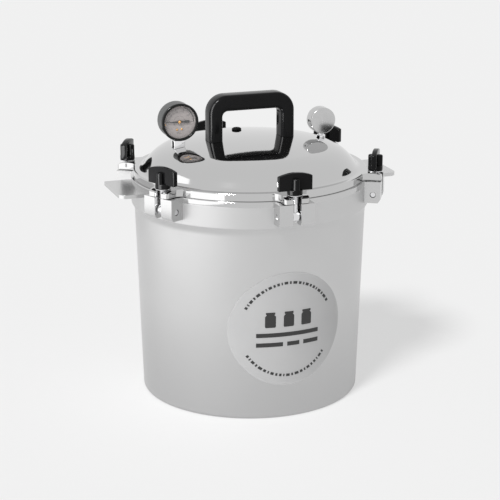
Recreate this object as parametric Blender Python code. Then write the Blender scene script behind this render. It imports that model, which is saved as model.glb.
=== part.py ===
"""Pressure canner: a cast pot, a domed lid on six swing clamps, a gauge, a vent weight and a relief plug.

Metres, +Z up. The origin is the centre of the pot's underside. The two carrying ears point
along X, and the gauge looks along -Y. All of it is shown closed and clamped.
"""

import math

import bmesh
import bpy
from mathutils import Matrix

GAP = 0.0003  # between pieces that touch
STEPS = 48  # facets round the pot and the lid
FINE_STEPS = 28  # facets round the gauge and the weight
SMALL_STEPS = 12  # facets round pins, holes and screws

# Pot
POT_BASE_RADIUS = 0.1552
POT_WALL_RADIUS = 0.16375  # at the top of the tapered wall
POT_WALL_TOP = 0.2665
POT_EDGE_RADIUS = 0.0045
COLLAR_RADIUS = 0.1682
COLLAR_BOTTOM = 0.2760
BAND_RADIUS = 0.1687
BAND_BOTTOM = 0.3064
RIM_TOP = 0.3132
POT_BORE_RADIUS = 0.1570  # at the foot of the bevelled seat
POT_BORE_BASE_RADIUS = 0.1487
FLOOR_THICKNESS = 0.0080
FLOOR_FILLET = 0.0120
SEAT_WIDTH = 0.0045
SEAT_DEPTH = 0.0090

# Carrying ears, thin plates cast on the pot at +X and -X, a little nearer the front than the back
EAR_REACH = 0.2045
EAR_ROOT_RADIUS = 0.1640
EAR_FRONT = -0.0530
EAR_BACK = 0.0340
EAR_CORNER = 0.0105  # how far the front corner is cut back
EAR_BACK_CORNER = 0.0035
EAR_TOP = 0.3090
EAR_THICKNESS = 0.0050

# Clamps
CLAMPS = 6
FIRST_CLAMP = math.radians(-90.0)
CLAMP_CIRCLE = 0.1785  # radius of the circle that the pins and bolts stand on
PIN_HEIGHT = 0.2948
PIN_RADIUS = 0.0038
PIN_HALF_LENGTH = 0.0238
PIN_HOLE_RADIUS = 0.0042
LUG_REACH = 0.1889
POT_LUG_HALF = 0.0250
POT_LUG_BOTTOM = 0.2830
POT_LUG_CHAMFER = 0.0050
LID_LUG_HALF = 0.0175
LUG_ROOT = 0.0050  # how much wider the lid lug is where it leaves the flange
SLOT_HALF = 0.00575
SLOT_END = 0.0086  # from the bolt's axis in to the closed end of the slot
SLOT_CORNER = 0.0018
BOLT_RADIUS = 0.00475
BOLT_TOP = 0.3402
EYE_RADIUS = 0.0073
EYE_HALF = 0.0048
EYE_HOLE_RADIUS = 0.0044
WASHER_THICKNESS = 0.00075
WASHER_RADIUS = 0.0107
WASHER_HOLE_RADIUS = 0.0053
NUT_BOTTOM = 0.3250
NUT_HUB_RADIUS = 0.0104
NUT_HUB_TOP = 0.3320
NUT_RIB_TOP = 0.3470
NUT_RIB_HALF = 0.0048  # half the rib's width along the wing
NUT_RIB_EDGE = 0.0020
NUT_BORE_TOP = 0.3412
WING_HALF = 0.0238
WING_HALF_THICKNESS = 0.0035
WING_BOTTOM = 0.3300
WING_END_TOP = 0.3495
WING_TOP = 0.3540

# Lid
FLANGE_RADIUS = 0.1651
FLANGE_TOP = 0.3237
FLANGE_EDGE = 0.0020
LID_TOP = 0.3657
CROWN_RADIUS = 0.6086  # of the shallow arc over the middle of the dome
CROWN_EDGE = 0.1080
SHOULDER_RADIUS = 0.0620
SHOULDER_END = math.radians(52.0)  # slope where the shoulder meets the cove
COVE_RADIUS = 0.0100
LID_THICKNESS = 0.0065
SKIRT_BOTTOM = 0.3015
SKIRT_INNER_RADIUS = 0.1495
HOLLOW_EDGE = (0.1485, 0.3180)  # radius and height where the lid's hollow leaves the skirt
LUG_TOP = 0.3236
# The lug's nose follows the washer as the bolt swings out, while the lid rises faster than
# the washer by this much for each radian of swing.
NOSE_LEAD = 0.00413

# Handle
HANDLE_HALF = 0.0627
HANDLE_INNER_HALF = 0.0435
HANDLE_HALF_DEPTH = 0.01375
HANDLE_TOP = 0.4281
HANDLE_UNDERSIDE = 0.4056
HANDLE_FOOT = 0.3500  # below the dome, which then trims it
HANDLE_CORNER = 0.0260
HANDLE_INNER_CORNER = 0.0080
HANDLE_EDGE = 0.0035
SCREW_RADIUS = 0.0029
SCREW_HOLE_RADIUS = 0.0033
SCREW_HEAD_RADIUS = 0.0058
SCREW_HEAD_HEIGHT = 0.0036
SCREW_TOP = 0.3900

# Gauge
GAUGE_X = -0.1040
GAUGE_BACK = 0.0185  # world Y of the back of the case, which every depth below is measured from
GAUGE_HEIGHT = 0.3940  # of the dial's centre
CASE_RADIUS = 0.0258
CASE_WALL = 0.0015
CASE_BACK_WALL = 0.0026
CASE_EDGE = 0.0008
CASE_DEPTH = 0.0215
BEZEL_RADIUS = 0.0264
BEZEL_FRONT = 0.0265
BEZEL_EDGE = 0.0010
SIGHT_RADIUS = 0.0227
SIGHT_EDGE = 0.0006
LENS_RADIUS = 0.0244
LENS_BACK = 0.0240
LENS_FRONT = 0.0251
DIAL_RADIUS = 0.0237
DIAL_BACK = 0.0197
DIAL_FRONT = 0.0205
DIAL_SCREW_X = 0.0034
DIAL_SCREW_DROP = 0.0109
DIAL_SCREW_FOOT = 0.0185
STOP_ANGLE = math.radians(188.0)
STOP_RADIUS = 0.0208
STOP_FOOT = 0.0191
STOP_TOP = 0.0227
POINTER_BACK = 0.0217
POINTER_FRONT = 0.0223
POINTER_COLLET = 0.0028
ARBOR_RADIUS = 0.0010
ARBOR_BORE = 0.0014
ARBOR_FOOT = 0.0120
MOVEMENT_BACK = 0.0110
MOVEMENT_FRONT = 0.0185
MOVEMENT_HALF = (0.0100, 0.0070)
STEM_HALF = 0.0079
STEM_DEPTH = 0.0130  # of the shank's axis
SPIGOT_DEPTH = 0.0105
STEM_TOP = 0.3678
SPIGOT_RADIUS = 0.0042
SPIGOT_FOOT = 0.3620
SPIGOT_TOP = 0.3765
STEM_NECK_RADIUS = 0.0060
STEM_NECK_BOTTOM = 0.3430
STEM_NECK_TOP = 0.3640
TUBE_BEND_RADIUS = 0.0150
TUBE_RADIUS = 0.0017
TUBE_DEPTH = 0.0060

# Vent pipe, its weight, and the relief plug
VENT_X = 0.1080
VENT_RADIUS = 0.0042
VENT_BASE_RADIUS = 0.0070
VENT_BASE_TOP = 0.3598
VENT_BOTTOM = 0.3440
VENT_TOP = 0.3790
VENT_BORE_RADIUS = 0.0016
WEIGHT_HEIGHT = 0.3818
WEIGHT_RADIUS = 0.01875
WEIGHT_HALF = 0.0090
WEIGHT_EDGE = 0.0012
WEIGHT_BORE_RADIUS = 0.0048
WEIGHT_BORE_TOP = 0.3805
WEIGHT_HOLE_RADIUS = 0.0020
WEIGHT_HOLE_DEPTH = 0.0130  # from the middle of the weight to the end of each hole in its rim
PLUG_DISTANCE = 0.0570  # behind the lid's centre, along +Y
PLUG_RADIUS = 0.0070
PLUG_NECK_RADIUS = 0.0038
PLUG_LENGTH = 0.0120  # of the part below the dome's face
PLUG_HEAD = ((0.0070, 0.0016), (0.0055, 0.0032), (0.0030, 0.0041), (0.0, 0.0044))  # (radius, height)

# Rack, inside on the pot's floor
RACK_RADIUS = 0.1350
RACK_HEIGHT = 0.0150
RACK_THICKNESS = 0.0020
RACK_HOLE_RADIUS = 0.0095
# (radius, holes) of each ring of holes, besides the one in the middle
RACK_HOLE_RINGS = ((0.036, 6), (0.072, 10), (0.108, 16))

# Label, a thin disc of film on the front of the pot
LABEL_HEIGHT = 0.1305
LABEL_RADIUS = 0.0815
LABEL_THICKNESS = 0.0004


def clear_scene():
    for thing in list(bpy.data.objects):
        bpy.data.objects.remove(thing, do_unlink=True)


def finish(name, colour, roughness, metallic, alpha=1.0):
    material = bpy.data.materials.new(name)
    material.use_nodes = True
    shader = material.node_tree.nodes["Principled BSDF"]
    shader.inputs["Base Color"].default_value = (*colour, 1.0)
    shader.inputs["Roughness"].default_value = roughness
    shader.inputs["Metallic"].default_value = metallic
    shader.inputs["Alpha"].default_value = alpha
    return material


def piece(name, shape, material):
    """Makes a named object from a bmesh, with outward faces and smooth shading between sharp edges."""
    bmesh.ops.recalc_face_normals(shape, faces=shape.faces)
    mesh = bpy.data.meshes.new(name)
    shape.to_mesh(mesh)
    shape.free()
    mesh.materials.append(material)
    mesh.shade_smooth()
    mesh.set_sharp_from_angle(angle=math.radians(35.0))
    thing = bpy.data.objects.new(name, mesh)
    bpy.context.scene.collection.objects.link(thing)
    return thing


def turned(profile, steps=FINE_STEPS):
    """A bmesh turned about Z from (radius, height) points: a loop, or a line with both ends on the axis."""
    shape = bmesh.new()
    corners = [shape.verts.new((radius, 0.0, height)) for radius, height in profile]
    edges = [shape.edges.new(pair) for pair in zip(corners, corners[1:])]
    if profile[0][0] > 0.0:
        edges.append(shape.edges.new((corners[-1], corners[0])))
    turn = 2.0 * math.pi
    bmesh.ops.spin(shape, geom=corners + edges, cent=(0, 0, 0), axis=(0, 0, 1), angle=turn, steps=steps)
    bmesh.ops.remove_doubles(shape, verts=shape.verts, dist=1e-6)
    return shape


def prism(outline, low, high):
    """A bmesh of a flat (x, y) outline raised from one height to another."""
    shape = bmesh.new()
    floor = shape.faces.new([shape.verts.new((x, y, low)) for x, y in outline])
    raised = bmesh.ops.extrude_face_region(shape, geom=[floor])
    top = [element for element in raised["geom"] if isinstance(element, bmesh.types.BMVert)]
    bmesh.ops.translate(shape, verts=top, vec=(0, 0, high - low))
    return shape


def round_bar(radius, low, high, steps=SMALL_STEPS):
    return turned([(0.0, low), (radius, low), (radius, high), (0.0, high)], steps)


def moved(shape, matrix):
    bmesh.ops.transform(shape, matrix=matrix, verts=shape.verts)
    return shape


def together(shapes):
    """One bmesh holding several separate bodies."""
    whole = bmesh.new()
    for shape in shapes:
        mesh = bpy.data.meshes.new("part")
        shape.to_mesh(mesh)
        shape.free()
        whole.from_mesh(mesh)
        bpy.data.meshes.remove(mesh)
    return whole


def combine(target, shape, operation):
    """Cuts or joins a bmesh with the target for good."""
    tool = piece("tool", shape, target.data.materials[0])
    modifier = target.modifiers.new(operation, "BOOLEAN")
    modifier.operation = operation
    modifier.object = tool
    graph = bpy.context.evaluated_depsgraph_get()
    mesh = bpy.data.meshes.new_from_object(target.evaluated_get(graph))
    mesh.name = target.name
    target.modifiers.clear()
    target.data = mesh
    bpy.data.objects.remove(tool, do_unlink=True)


def cut(target, shape):
    combine(target, shape, "DIFFERENCE")


def join(target, shape):
    combine(target, shape, "UNION")


def arc(centre, radius, start, end, steps):
    """Points on an arc in the profile plane, from one angle to another, ends included."""
    angles = [start + (end - start) * step / steps for step in range(steps + 1)]
    return [(centre[0] + radius * math.cos(a), centre[1] + radius * math.sin(a)) for a in angles]


def turn_z(angle):
    return Matrix.Rotation(angle, 4, "Z")


def shift(x, y, z):
    return Matrix.Translation((x, y, z))


def clamp_angles():
    return [FIRST_CLAMP + index * 2.0 * math.pi / CLAMPS for index in range(CLAMPS)]


def round_the_clamps(make):
    """One body for each clamp. The maker draws it at azimuth zero, towards +X."""
    return together([moved(make(), turn_z(angle)) for angle in clamp_angles()])


def dome_height(radius):
    """Height of the crown's outer face, good out to its edge."""
    return LID_TOP - radius * radius / (2.0 * CROWN_RADIUS)


def dome_profile(offset, crown_steps, shoulder_steps):
    """The dome's outline from the middle out to the end of the shoulder, moved out by the offset."""
    edge_slope = CROWN_EDGE / CROWN_RADIUS
    edge = (CROWN_EDGE, dome_height(CROWN_EDGE))
    start = math.atan(edge_slope)
    crown = []
    for step in range(crown_steps):
        radius = CROWN_EDGE * step / crown_steps
        slope = math.atan(radius / CROWN_RADIUS)
        x = radius + offset * math.sin(slope)
        crown.append((x, dome_height(radius) + offset * math.cos(slope)))
    centre = (edge[0] - SHOULDER_RADIUS * math.sin(start), edge[1] - SHOULDER_RADIUS * math.cos(start))
    up = math.pi / 2.0
    return crown + arc(centre, SHOULDER_RADIUS + offset, up - start, up - SHOULDER_END, shoulder_steps)


def dome_cutter():
    """Everything below the dome's crown, raised by the working gap, for trimming what stands on it."""
    crown = [point for point in dome_profile(GAP, 5, 4) if point[0] < 0.135]
    return turned(crown + [(crown[-1][0], 0.300), (0.0, 0.300)], STEPS)


def slot_cutter(low, high):
    """A slot open at the outer end, with rounded corners at its inner end past the bolt."""
    corner_x = CLAMP_CIRCLE - SLOT_END + SLOT_CORNER
    corner_y = SLOT_HALF - SLOT_CORNER
    rounded = arc((corner_x, corner_y), SLOT_CORNER, math.radians(90.0), math.radians(180.0), 3)
    rounded += arc((corner_x, -corner_y), SLOT_CORNER, math.radians(180.0), math.radians(270.0), 3)
    return prism(rounded + [(LUG_REACH + 0.010, -SLOT_HALF), (LUG_REACH + 0.010, SLOT_HALF)], low, high)


def make_pot(material):
    taper = (POT_WALL_RADIUS - POT_BASE_RADIUS) / POT_WALL_TOP
    edge = POT_EDGE_RADIUS
    outside = [(0.0, 0.0)]
    outside += arc((POT_BASE_RADIUS + taper * edge - edge, edge), edge, math.radians(-90), 0.0, 3)
    outside += [(POT_WALL_RADIUS, POT_WALL_TOP), (COLLAR_RADIUS, COLLAR_BOTTOM)]
    outside += [(COLLAR_RADIUS, BAND_BOTTOM), (BAND_RADIUS, BAND_BOTTOM + 0.0005)]
    outside += [(BAND_RADIUS, RIM_TOP - 0.0008), (BAND_RADIUS - 0.0008, RIM_TOP)]
    seat_foot = RIM_TOP - SEAT_DEPTH
    inside = [(POT_BORE_RADIUS + SEAT_WIDTH, RIM_TOP), (POT_BORE_RADIUS, seat_foot)]
    fillet = (POT_BORE_BASE_RADIUS - FLOOR_FILLET, FLOOR_THICKNESS + FLOOR_FILLET)
    inside += arc(fillet, FLOOR_FILLET, 0.0, math.radians(-90.0), 3)
    inside += [(0.0, FLOOR_THICKNESS)]
    pot = piece("pot", turned(outside + inside, STEPS), material)

    root = POT_BORE_RADIUS + SEAT_WIDTH + 0.0015
    top = RIM_TOP - 0.0003
    corner = POT_LUG_CHAMFER
    side = [(root, POT_LUG_BOTTOM), (LUG_REACH - 0.7 * corner, POT_LUG_BOTTOM)]
    side += [(LUG_REACH, POT_LUG_BOTTOM + corner), (LUG_REACH, top), (root, top)]

    def lug():
        upright = Matrix.Rotation(math.radians(90.0), 4, "X")
        return moved(prism(side, -POT_LUG_HALF, POT_LUG_HALF), upright)

    join(pot, round_the_clamps(lug))

    def ear():
        front, back = math.asin(EAR_FRONT / EAR_ROOT_RADIUS), math.asin(EAR_BACK / EAR_ROOT_RADIUS)
        outline = arc((0.0, 0.0), EAR_ROOT_RADIUS, back, front, 5)
        front_centre = (EAR_REACH - EAR_CORNER, EAR_FRONT + EAR_CORNER)
        outline += arc(front_centre, EAR_CORNER, math.radians(-90), 0.0, 3)
        rear_centre = (EAR_REACH - EAR_BACK_CORNER, EAR_BACK - EAR_BACK_CORNER)
        outline += arc(rear_centre, EAR_BACK_CORNER, 0.0, math.radians(90), 2)
        return prism(outline, EAR_TOP - EAR_THICKNESS, EAR_TOP)

    join(pot, together([ear(), moved(ear(), Matrix.Scale(-1.0, 4, (1.0, 0.0, 0.0)))]))
    cut(pot, round_the_clamps(lambda: slot_cutter(0.250, 0.340)))

    def pin_hole():
        bar = round_bar(PIN_HOLE_RADIUS, -0.030, 0.030)
        lying = Matrix.Rotation(math.radians(90.0), 4, "X")
        return moved(bar, shift(CLAMP_CIRCLE, 0.0, PIN_HEIGHT) @ lying)

    cut(pot, round_the_clamps(pin_hole))
    return pot


def nose_height(reach):
    """Height of the lid lug's top face at a distance outwards from the bolt's axis."""
    washer_bottom = NUT_BOTTOM - GAP - WASHER_THICKNESS
    radius = washer_bottom - PIN_HEIGHT - 0.00005
    lead = reach + NOSE_LEAD
    rounded = PIN_HEIGHT + math.sqrt(radius * radius - lead * lead)
    return min(LUG_TOP, rounded) if reach > -NOSE_LEAD else LUG_TOP


def lid_lug():
    """A lug for one clamp, flared where it leaves the flange and falling away over its nose."""
    half_widths = [(0.1500, 1.9), (0.1575, 1.9), (0.1640, 1.35), (0.1680, 0.65), (0.1720, 0.20)]
    stations = [(x, LID_LUG_HALF + LUG_ROOT * flare) for x, flare in half_widths]
    stations += [(x, LID_LUG_HALF) for x in (0.1765, CLAMP_CIRCLE, 0.1812, 0.1840, 0.1868)]
    stations += [(LUG_REACH, LID_LUG_HALF - 0.0015)]
    bottom = RIM_TOP + 2.0 * GAP
    shape = bmesh.new()
    rings = []
    for x, half in stations:
        top = nose_height(x - CLAMP_CIRCLE)
        corners = ((-half, bottom), (half, bottom), (half, top), (-half, top))
        rings.append([shape.verts.new((x, y, z)) for y, z in corners])
    for near, far in zip(rings, rings[1:]):
        for index in range(4):
            after = (index + 1) % 4
            shape.faces.new((near[index], near[after], far[after], far[index]))
    shape.faces.new(rings[0])
    shape.faces.new(rings[-1])
    return shape


def make_lid(material):
    outside = dome_profile(0.0, 5, 4)
    cove_slope = SHOULDER_END
    rise = COVE_RADIUS * (1.0 - math.cos(cove_slope))
    drop = outside[-1][1] - FLANGE_TOP - rise
    cove_end = outside[-1][0] + drop / math.tan(cove_slope) + COVE_RADIUS * math.sin(cove_slope)
    cove_centre = (cove_end, FLANGE_TOP + COVE_RADIUS)
    outside += arc(cove_centre, COVE_RADIUS, math.radians(270) - cove_slope, math.radians(270), 3)
    edge_centre = (FLANGE_RADIUS - FLANGE_EDGE, FLANGE_TOP - FLANGE_EDGE)
    outside += arc(edge_centre, FLANGE_EDGE, math.radians(90.0), 0.0, 2)
    bottom = RIM_TOP + GAP
    seat_lean = SEAT_WIDTH / SEAT_DEPTH
    seat_gap = GAP * math.sqrt(1.0 + seat_lean * seat_lean)
    seat_top = POT_BORE_RADIUS + SEAT_WIDTH - seat_gap
    outside += [(FLANGE_RADIUS, bottom), (seat_top, bottom)]
    outside += [(POT_BORE_RADIUS - seat_gap, RIM_TOP - SEAT_DEPTH), (POT_BORE_RADIUS - 0.0013, SKIRT_BOTTOM)]
    inside = [(SKIRT_INNER_RADIUS, SKIRT_BOTTOM), HOLLOW_EDGE]
    inside += reversed(dome_profile(-LID_THICKNESS, 3, 2))
    lid = piece("lid", turned(outside + inside, STEPS), material)
    join(lid, round_the_clamps(lid_lug))
    cut(lid, round_the_clamps(lambda: slot_cutter(0.300, 0.340)))
    holes = [(GAUGE_X, GAUGE_BACK - STEM_DEPTH, STEM_NECK_RADIUS + 0.0004)]
    holes += [(VENT_X, 0.0, VENT_RADIUS + 0.0008), (0.0, PLUG_DISTANCE, PLUG_NECK_RADIUS + 0.0010)]
    holes += [(side * handle_leg(), 0.0, SCREW_HOLE_RADIUS) for side in (-1, 1)]
    cut(lid, together([moved(round_bar(radius, 0.320, 0.400), shift(x, y, 0.0)) for x, y, radius in holes]))
    return lid


def make_label(material):
    taper = (POT_WALL_RADIUS - POT_BASE_RADIUS) / POT_WALL_TOP
    low, high = LABEL_HEIGHT - LABEL_RADIUS - 0.01, LABEL_HEIGHT + LABEL_RADIUS + 0.01
    inner = [POT_BASE_RADIUS + taper * z + GAP for z in (low, high)]
    outer = [radius + LABEL_THICKNESS for radius in inner]
    band = [(outer[0], low), (outer[1], high), (inner[1], high), (inner[0], low)]
    label = piece("label", turned(band, STEPS), material)
    facing = shift(0.0, 0.0, LABEL_HEIGHT) @ Matrix.Rotation(math.radians(90.0), 4, "X")
    disc = moved(round_bar(LABEL_RADIUS, 0.100, 0.200, 48), facing)
    combine(label, disc, "INTERSECT")
    return label


def make_rack(material):
    top = FLOOR_THICKNESS + RACK_HEIGHT
    under = top - RACK_THICKNESS
    foot = FLOOR_THICKNESS + GAP
    wall = RACK_RADIUS - RACK_THICKNESS
    profile = [(0.0, top), (RACK_RADIUS - 0.001, top), (RACK_RADIUS, top - 0.001)]
    profile += [(RACK_RADIUS, foot), (wall, foot), (wall, under), (0.0, under)]
    rack = piece("rack", turned(profile, STEPS), material)
    holes = [round_bar(RACK_HOLE_RADIUS, under - 0.005, top + 0.005, 8)]
    for ring, count in RACK_HOLE_RINGS:
        for index in range(count):
            angle = 2.0 * math.pi * index / count
            place = shift(ring * math.cos(angle), ring * math.sin(angle), 0.0)
            holes.append(moved(round_bar(RACK_HOLE_RADIUS, under - 0.005, top + 0.005, 8), place))
    cut(rack, together(holes))
    return rack


def swing_bolt_shape(material):
    bolt = piece("bolt", round_bar(BOLT_RADIUS, 0.0, BOLT_TOP - PIN_HEIGHT - 0.001), material)
    lying = Matrix.Rotation(math.radians(90.0), 4, "X")
    join(bolt, moved(round_bar(EYE_RADIUS, -EYE_HALF, EYE_HALF, 16), lying))
    tip = BOLT_TOP - PIN_HEIGHT
    join(bolt, round_bar(BOLT_RADIUS - 0.001, tip - 0.002, tip))
    cut(bolt, moved(round_bar(EYE_HOLE_RADIUS, -0.02, 0.02, 16), lying))
    return bolt


def wing_nut_shape(material):
    hub_top = NUT_HUB_TOP - NUT_BOTTOM
    hub = [(0.0, 0.0), (NUT_HUB_RADIUS - 0.0006, 0.0), (NUT_HUB_RADIUS, 0.0006)]
    hub += [(NUT_HUB_RADIUS, hub_top - 0.001), (NUT_HUB_RADIUS - 0.003, hub_top), (0.0, hub_top)]
    nut = piece("nut", turned(hub, 16), material)
    end = NUT_HUB_RADIUS - 0.0002 - NUT_RIB_HALF
    rib_outline = arc((end, 0.0), NUT_RIB_HALF, math.radians(-90.0), math.radians(90.0), 4)
    rib_outline += arc((-end, 0.0), NUT_RIB_HALF, math.radians(90.0), math.radians(270.0), 4)
    rib_top = NUT_RIB_TOP - NUT_BOTTOM
    rib = prism(rib_outline, 0.0030, rib_top)
    bmesh.ops.recalc_face_normals(rib, faces=rib.faces)
    rim = [edge for edge in rib.edges if min(vert.co.z for vert in edge.verts) > rib_top - 1e-6]
    bmesh.ops.bevel(rib, geom=rim, offset=NUT_RIB_EDGE, segments=2, profile=0.5, affect="EDGES")
    join(nut, rib)
    rise = WING_TOP - WING_END_TOP
    sag_radius = (WING_HALF * WING_HALF + rise * rise) / (2.0 * rise)
    spread = math.asin(WING_HALF / sag_radius)
    centre = (0.0, WING_TOP - NUT_BOTTOM - sag_radius)
    up = math.pi / 2.0
    top = arc(centre, sag_radius, up - spread, up + spread, 8)
    outline = top + [(-WING_HALF, WING_BOTTOM - NUT_BOTTOM), (WING_HALF, WING_BOTTOM - NUT_BOTTOM)]
    wing = prism(outline, -WING_HALF_THICKNESS, WING_HALF_THICKNESS)
    upright = Matrix.Rotation(math.radians(90.0), 4, "Z") @ Matrix.Rotation(math.radians(90.0), 4, "X")
    join(nut, moved(wing, upright))
    cut(nut, round_bar(WASHER_HOLE_RADIUS, -0.005, NUT_BORE_TOP - NUT_BOTTOM))
    return nut


def copy_of(model, name, parent, height):
    """Another object with the model's mesh, at a height over its parent."""
    thing = bpy.data.objects.new(name, model.data)
    bpy.context.scene.collection.objects.link(thing)
    thing.parent = parent
    thing.location.z = height
    return thing


def make_clamps(steel, zinc, phenolic):
    washer_profile = [(WASHER_HOLE_RADIUS, 0.0), (WASHER_RADIUS, 0.0)]
    washer_profile += [(WASHER_RADIUS, WASHER_THICKNESS), (WASHER_HOLE_RADIUS, WASHER_THICKNESS)]
    models = {
        "pin": piece("pin", moved(round_bar(PIN_RADIUS, -PIN_HALF_LENGTH, PIN_HALF_LENGTH),
                                  Matrix.Rotation(math.radians(90.0), 4, "X")), steel),
        "bolt": swing_bolt_shape(steel),
        "washer": piece("washer", turned(washer_profile, 20), zinc),
        "wing_nut": wing_nut_shape(phenolic),
    }
    washer_height = NUT_BOTTOM - GAP - WASHER_THICKNESS - PIN_HEIGHT
    heights = {"pin": 0.0, "bolt": 0.0, "washer": washer_height, "wing_nut": NUT_BOTTOM - PIN_HEIGHT}
    for number, angle in enumerate(clamp_angles(), start=1):
        pivot = bpy.data.objects.new(f"clamp_{number}_pivot", None)
        bpy.context.scene.collection.objects.link(pivot)
        pivot.location = (CLAMP_CIRCLE * math.cos(angle), CLAMP_CIRCLE * math.sin(angle), PIN_HEIGHT)
        pivot.rotation_euler.z = angle
        for kind, model in models.items():
            copy_of(model, f"clamp_{number}_{kind}", pivot, heights[kind])
    for model in models.values():
        bpy.data.objects.remove(model, do_unlink=True)


def handle_leg():
    return (HANDLE_HALF + HANDLE_INNER_HALF) / 2.0


def make_handle(material):
    outer_centre = HANDLE_HALF - HANDLE_CORNER
    inner_centre = HANDLE_INNER_HALF - HANDLE_INNER_CORNER
    top_centre = HANDLE_TOP - HANDLE_CORNER
    under_centre = HANDLE_UNDERSIDE - HANDLE_INNER_CORNER
    quarter = math.pi / 2.0
    outline = [(HANDLE_HALF, HANDLE_FOOT)]
    outline += arc((outer_centre, top_centre), HANDLE_CORNER, 0.0, quarter, 6)
    outline += arc((-outer_centre, top_centre), HANDLE_CORNER, quarter, 2.0 * quarter, 6)
    outline += [(-HANDLE_HALF, HANDLE_FOOT), (-HANDLE_INNER_HALF, HANDLE_FOOT)]
    outline += arc((-inner_centre, under_centre), HANDLE_INNER_CORNER, 2.0 * quarter, quarter, 3)
    outline += arc((inner_centre, under_centre), HANDLE_INNER_CORNER, quarter, 0.0, 3)
    outline += [(HANDLE_INNER_HALF, HANDLE_FOOT)]
    shape = prism(outline, -HANDLE_HALF_DEPTH, HANDLE_HALF_DEPTH)
    bmesh.ops.recalc_face_normals(shape, faces=shape.faces)
    long_edges = [edge for edge in shape.edges if abs(edge.verts[0].co.z - edge.verts[1].co.z) < 1e-6]
    bmesh.ops.bevel(shape, geom=long_edges, offset=HANDLE_EDGE, segments=2, profile=0.5, affect="EDGES")
    upright = Matrix.Rotation(math.radians(90.0), 4, "X")
    handle = piece("handle", moved(shape, upright), material)
    cut(handle, dome_cutter())
    for side in (-1, 1):
        bore = round_bar(SCREW_HOLE_RADIUS, HANDLE_FOOT - 0.010, SCREW_TOP + 0.001)
        cut(handle, moved(bore, shift(side * handle_leg(), 0.0, 0.0)))
    return handle


def make_handle_screws(material):
    under = dome_height(handle_leg()) - LID_THICKNESS - 0.0012
    head = under - SCREW_HEAD_HEIGHT
    profile = [(0.0, head), (SCREW_HEAD_RADIUS - 0.001, head), (SCREW_HEAD_RADIUS, head + 0.0012)]
    profile += [(SCREW_HEAD_RADIUS, under), (SCREW_RADIUS, under)]
    profile += [(SCREW_RADIUS, SCREW_TOP), (0.0, SCREW_TOP)]
    for number, side in ((1, -1), (2, 1)):
        screw = piece(f"handle_screw_{number}", turned(profile, SMALL_STEPS), material)
        screw.location.x = side * handle_leg()


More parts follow.
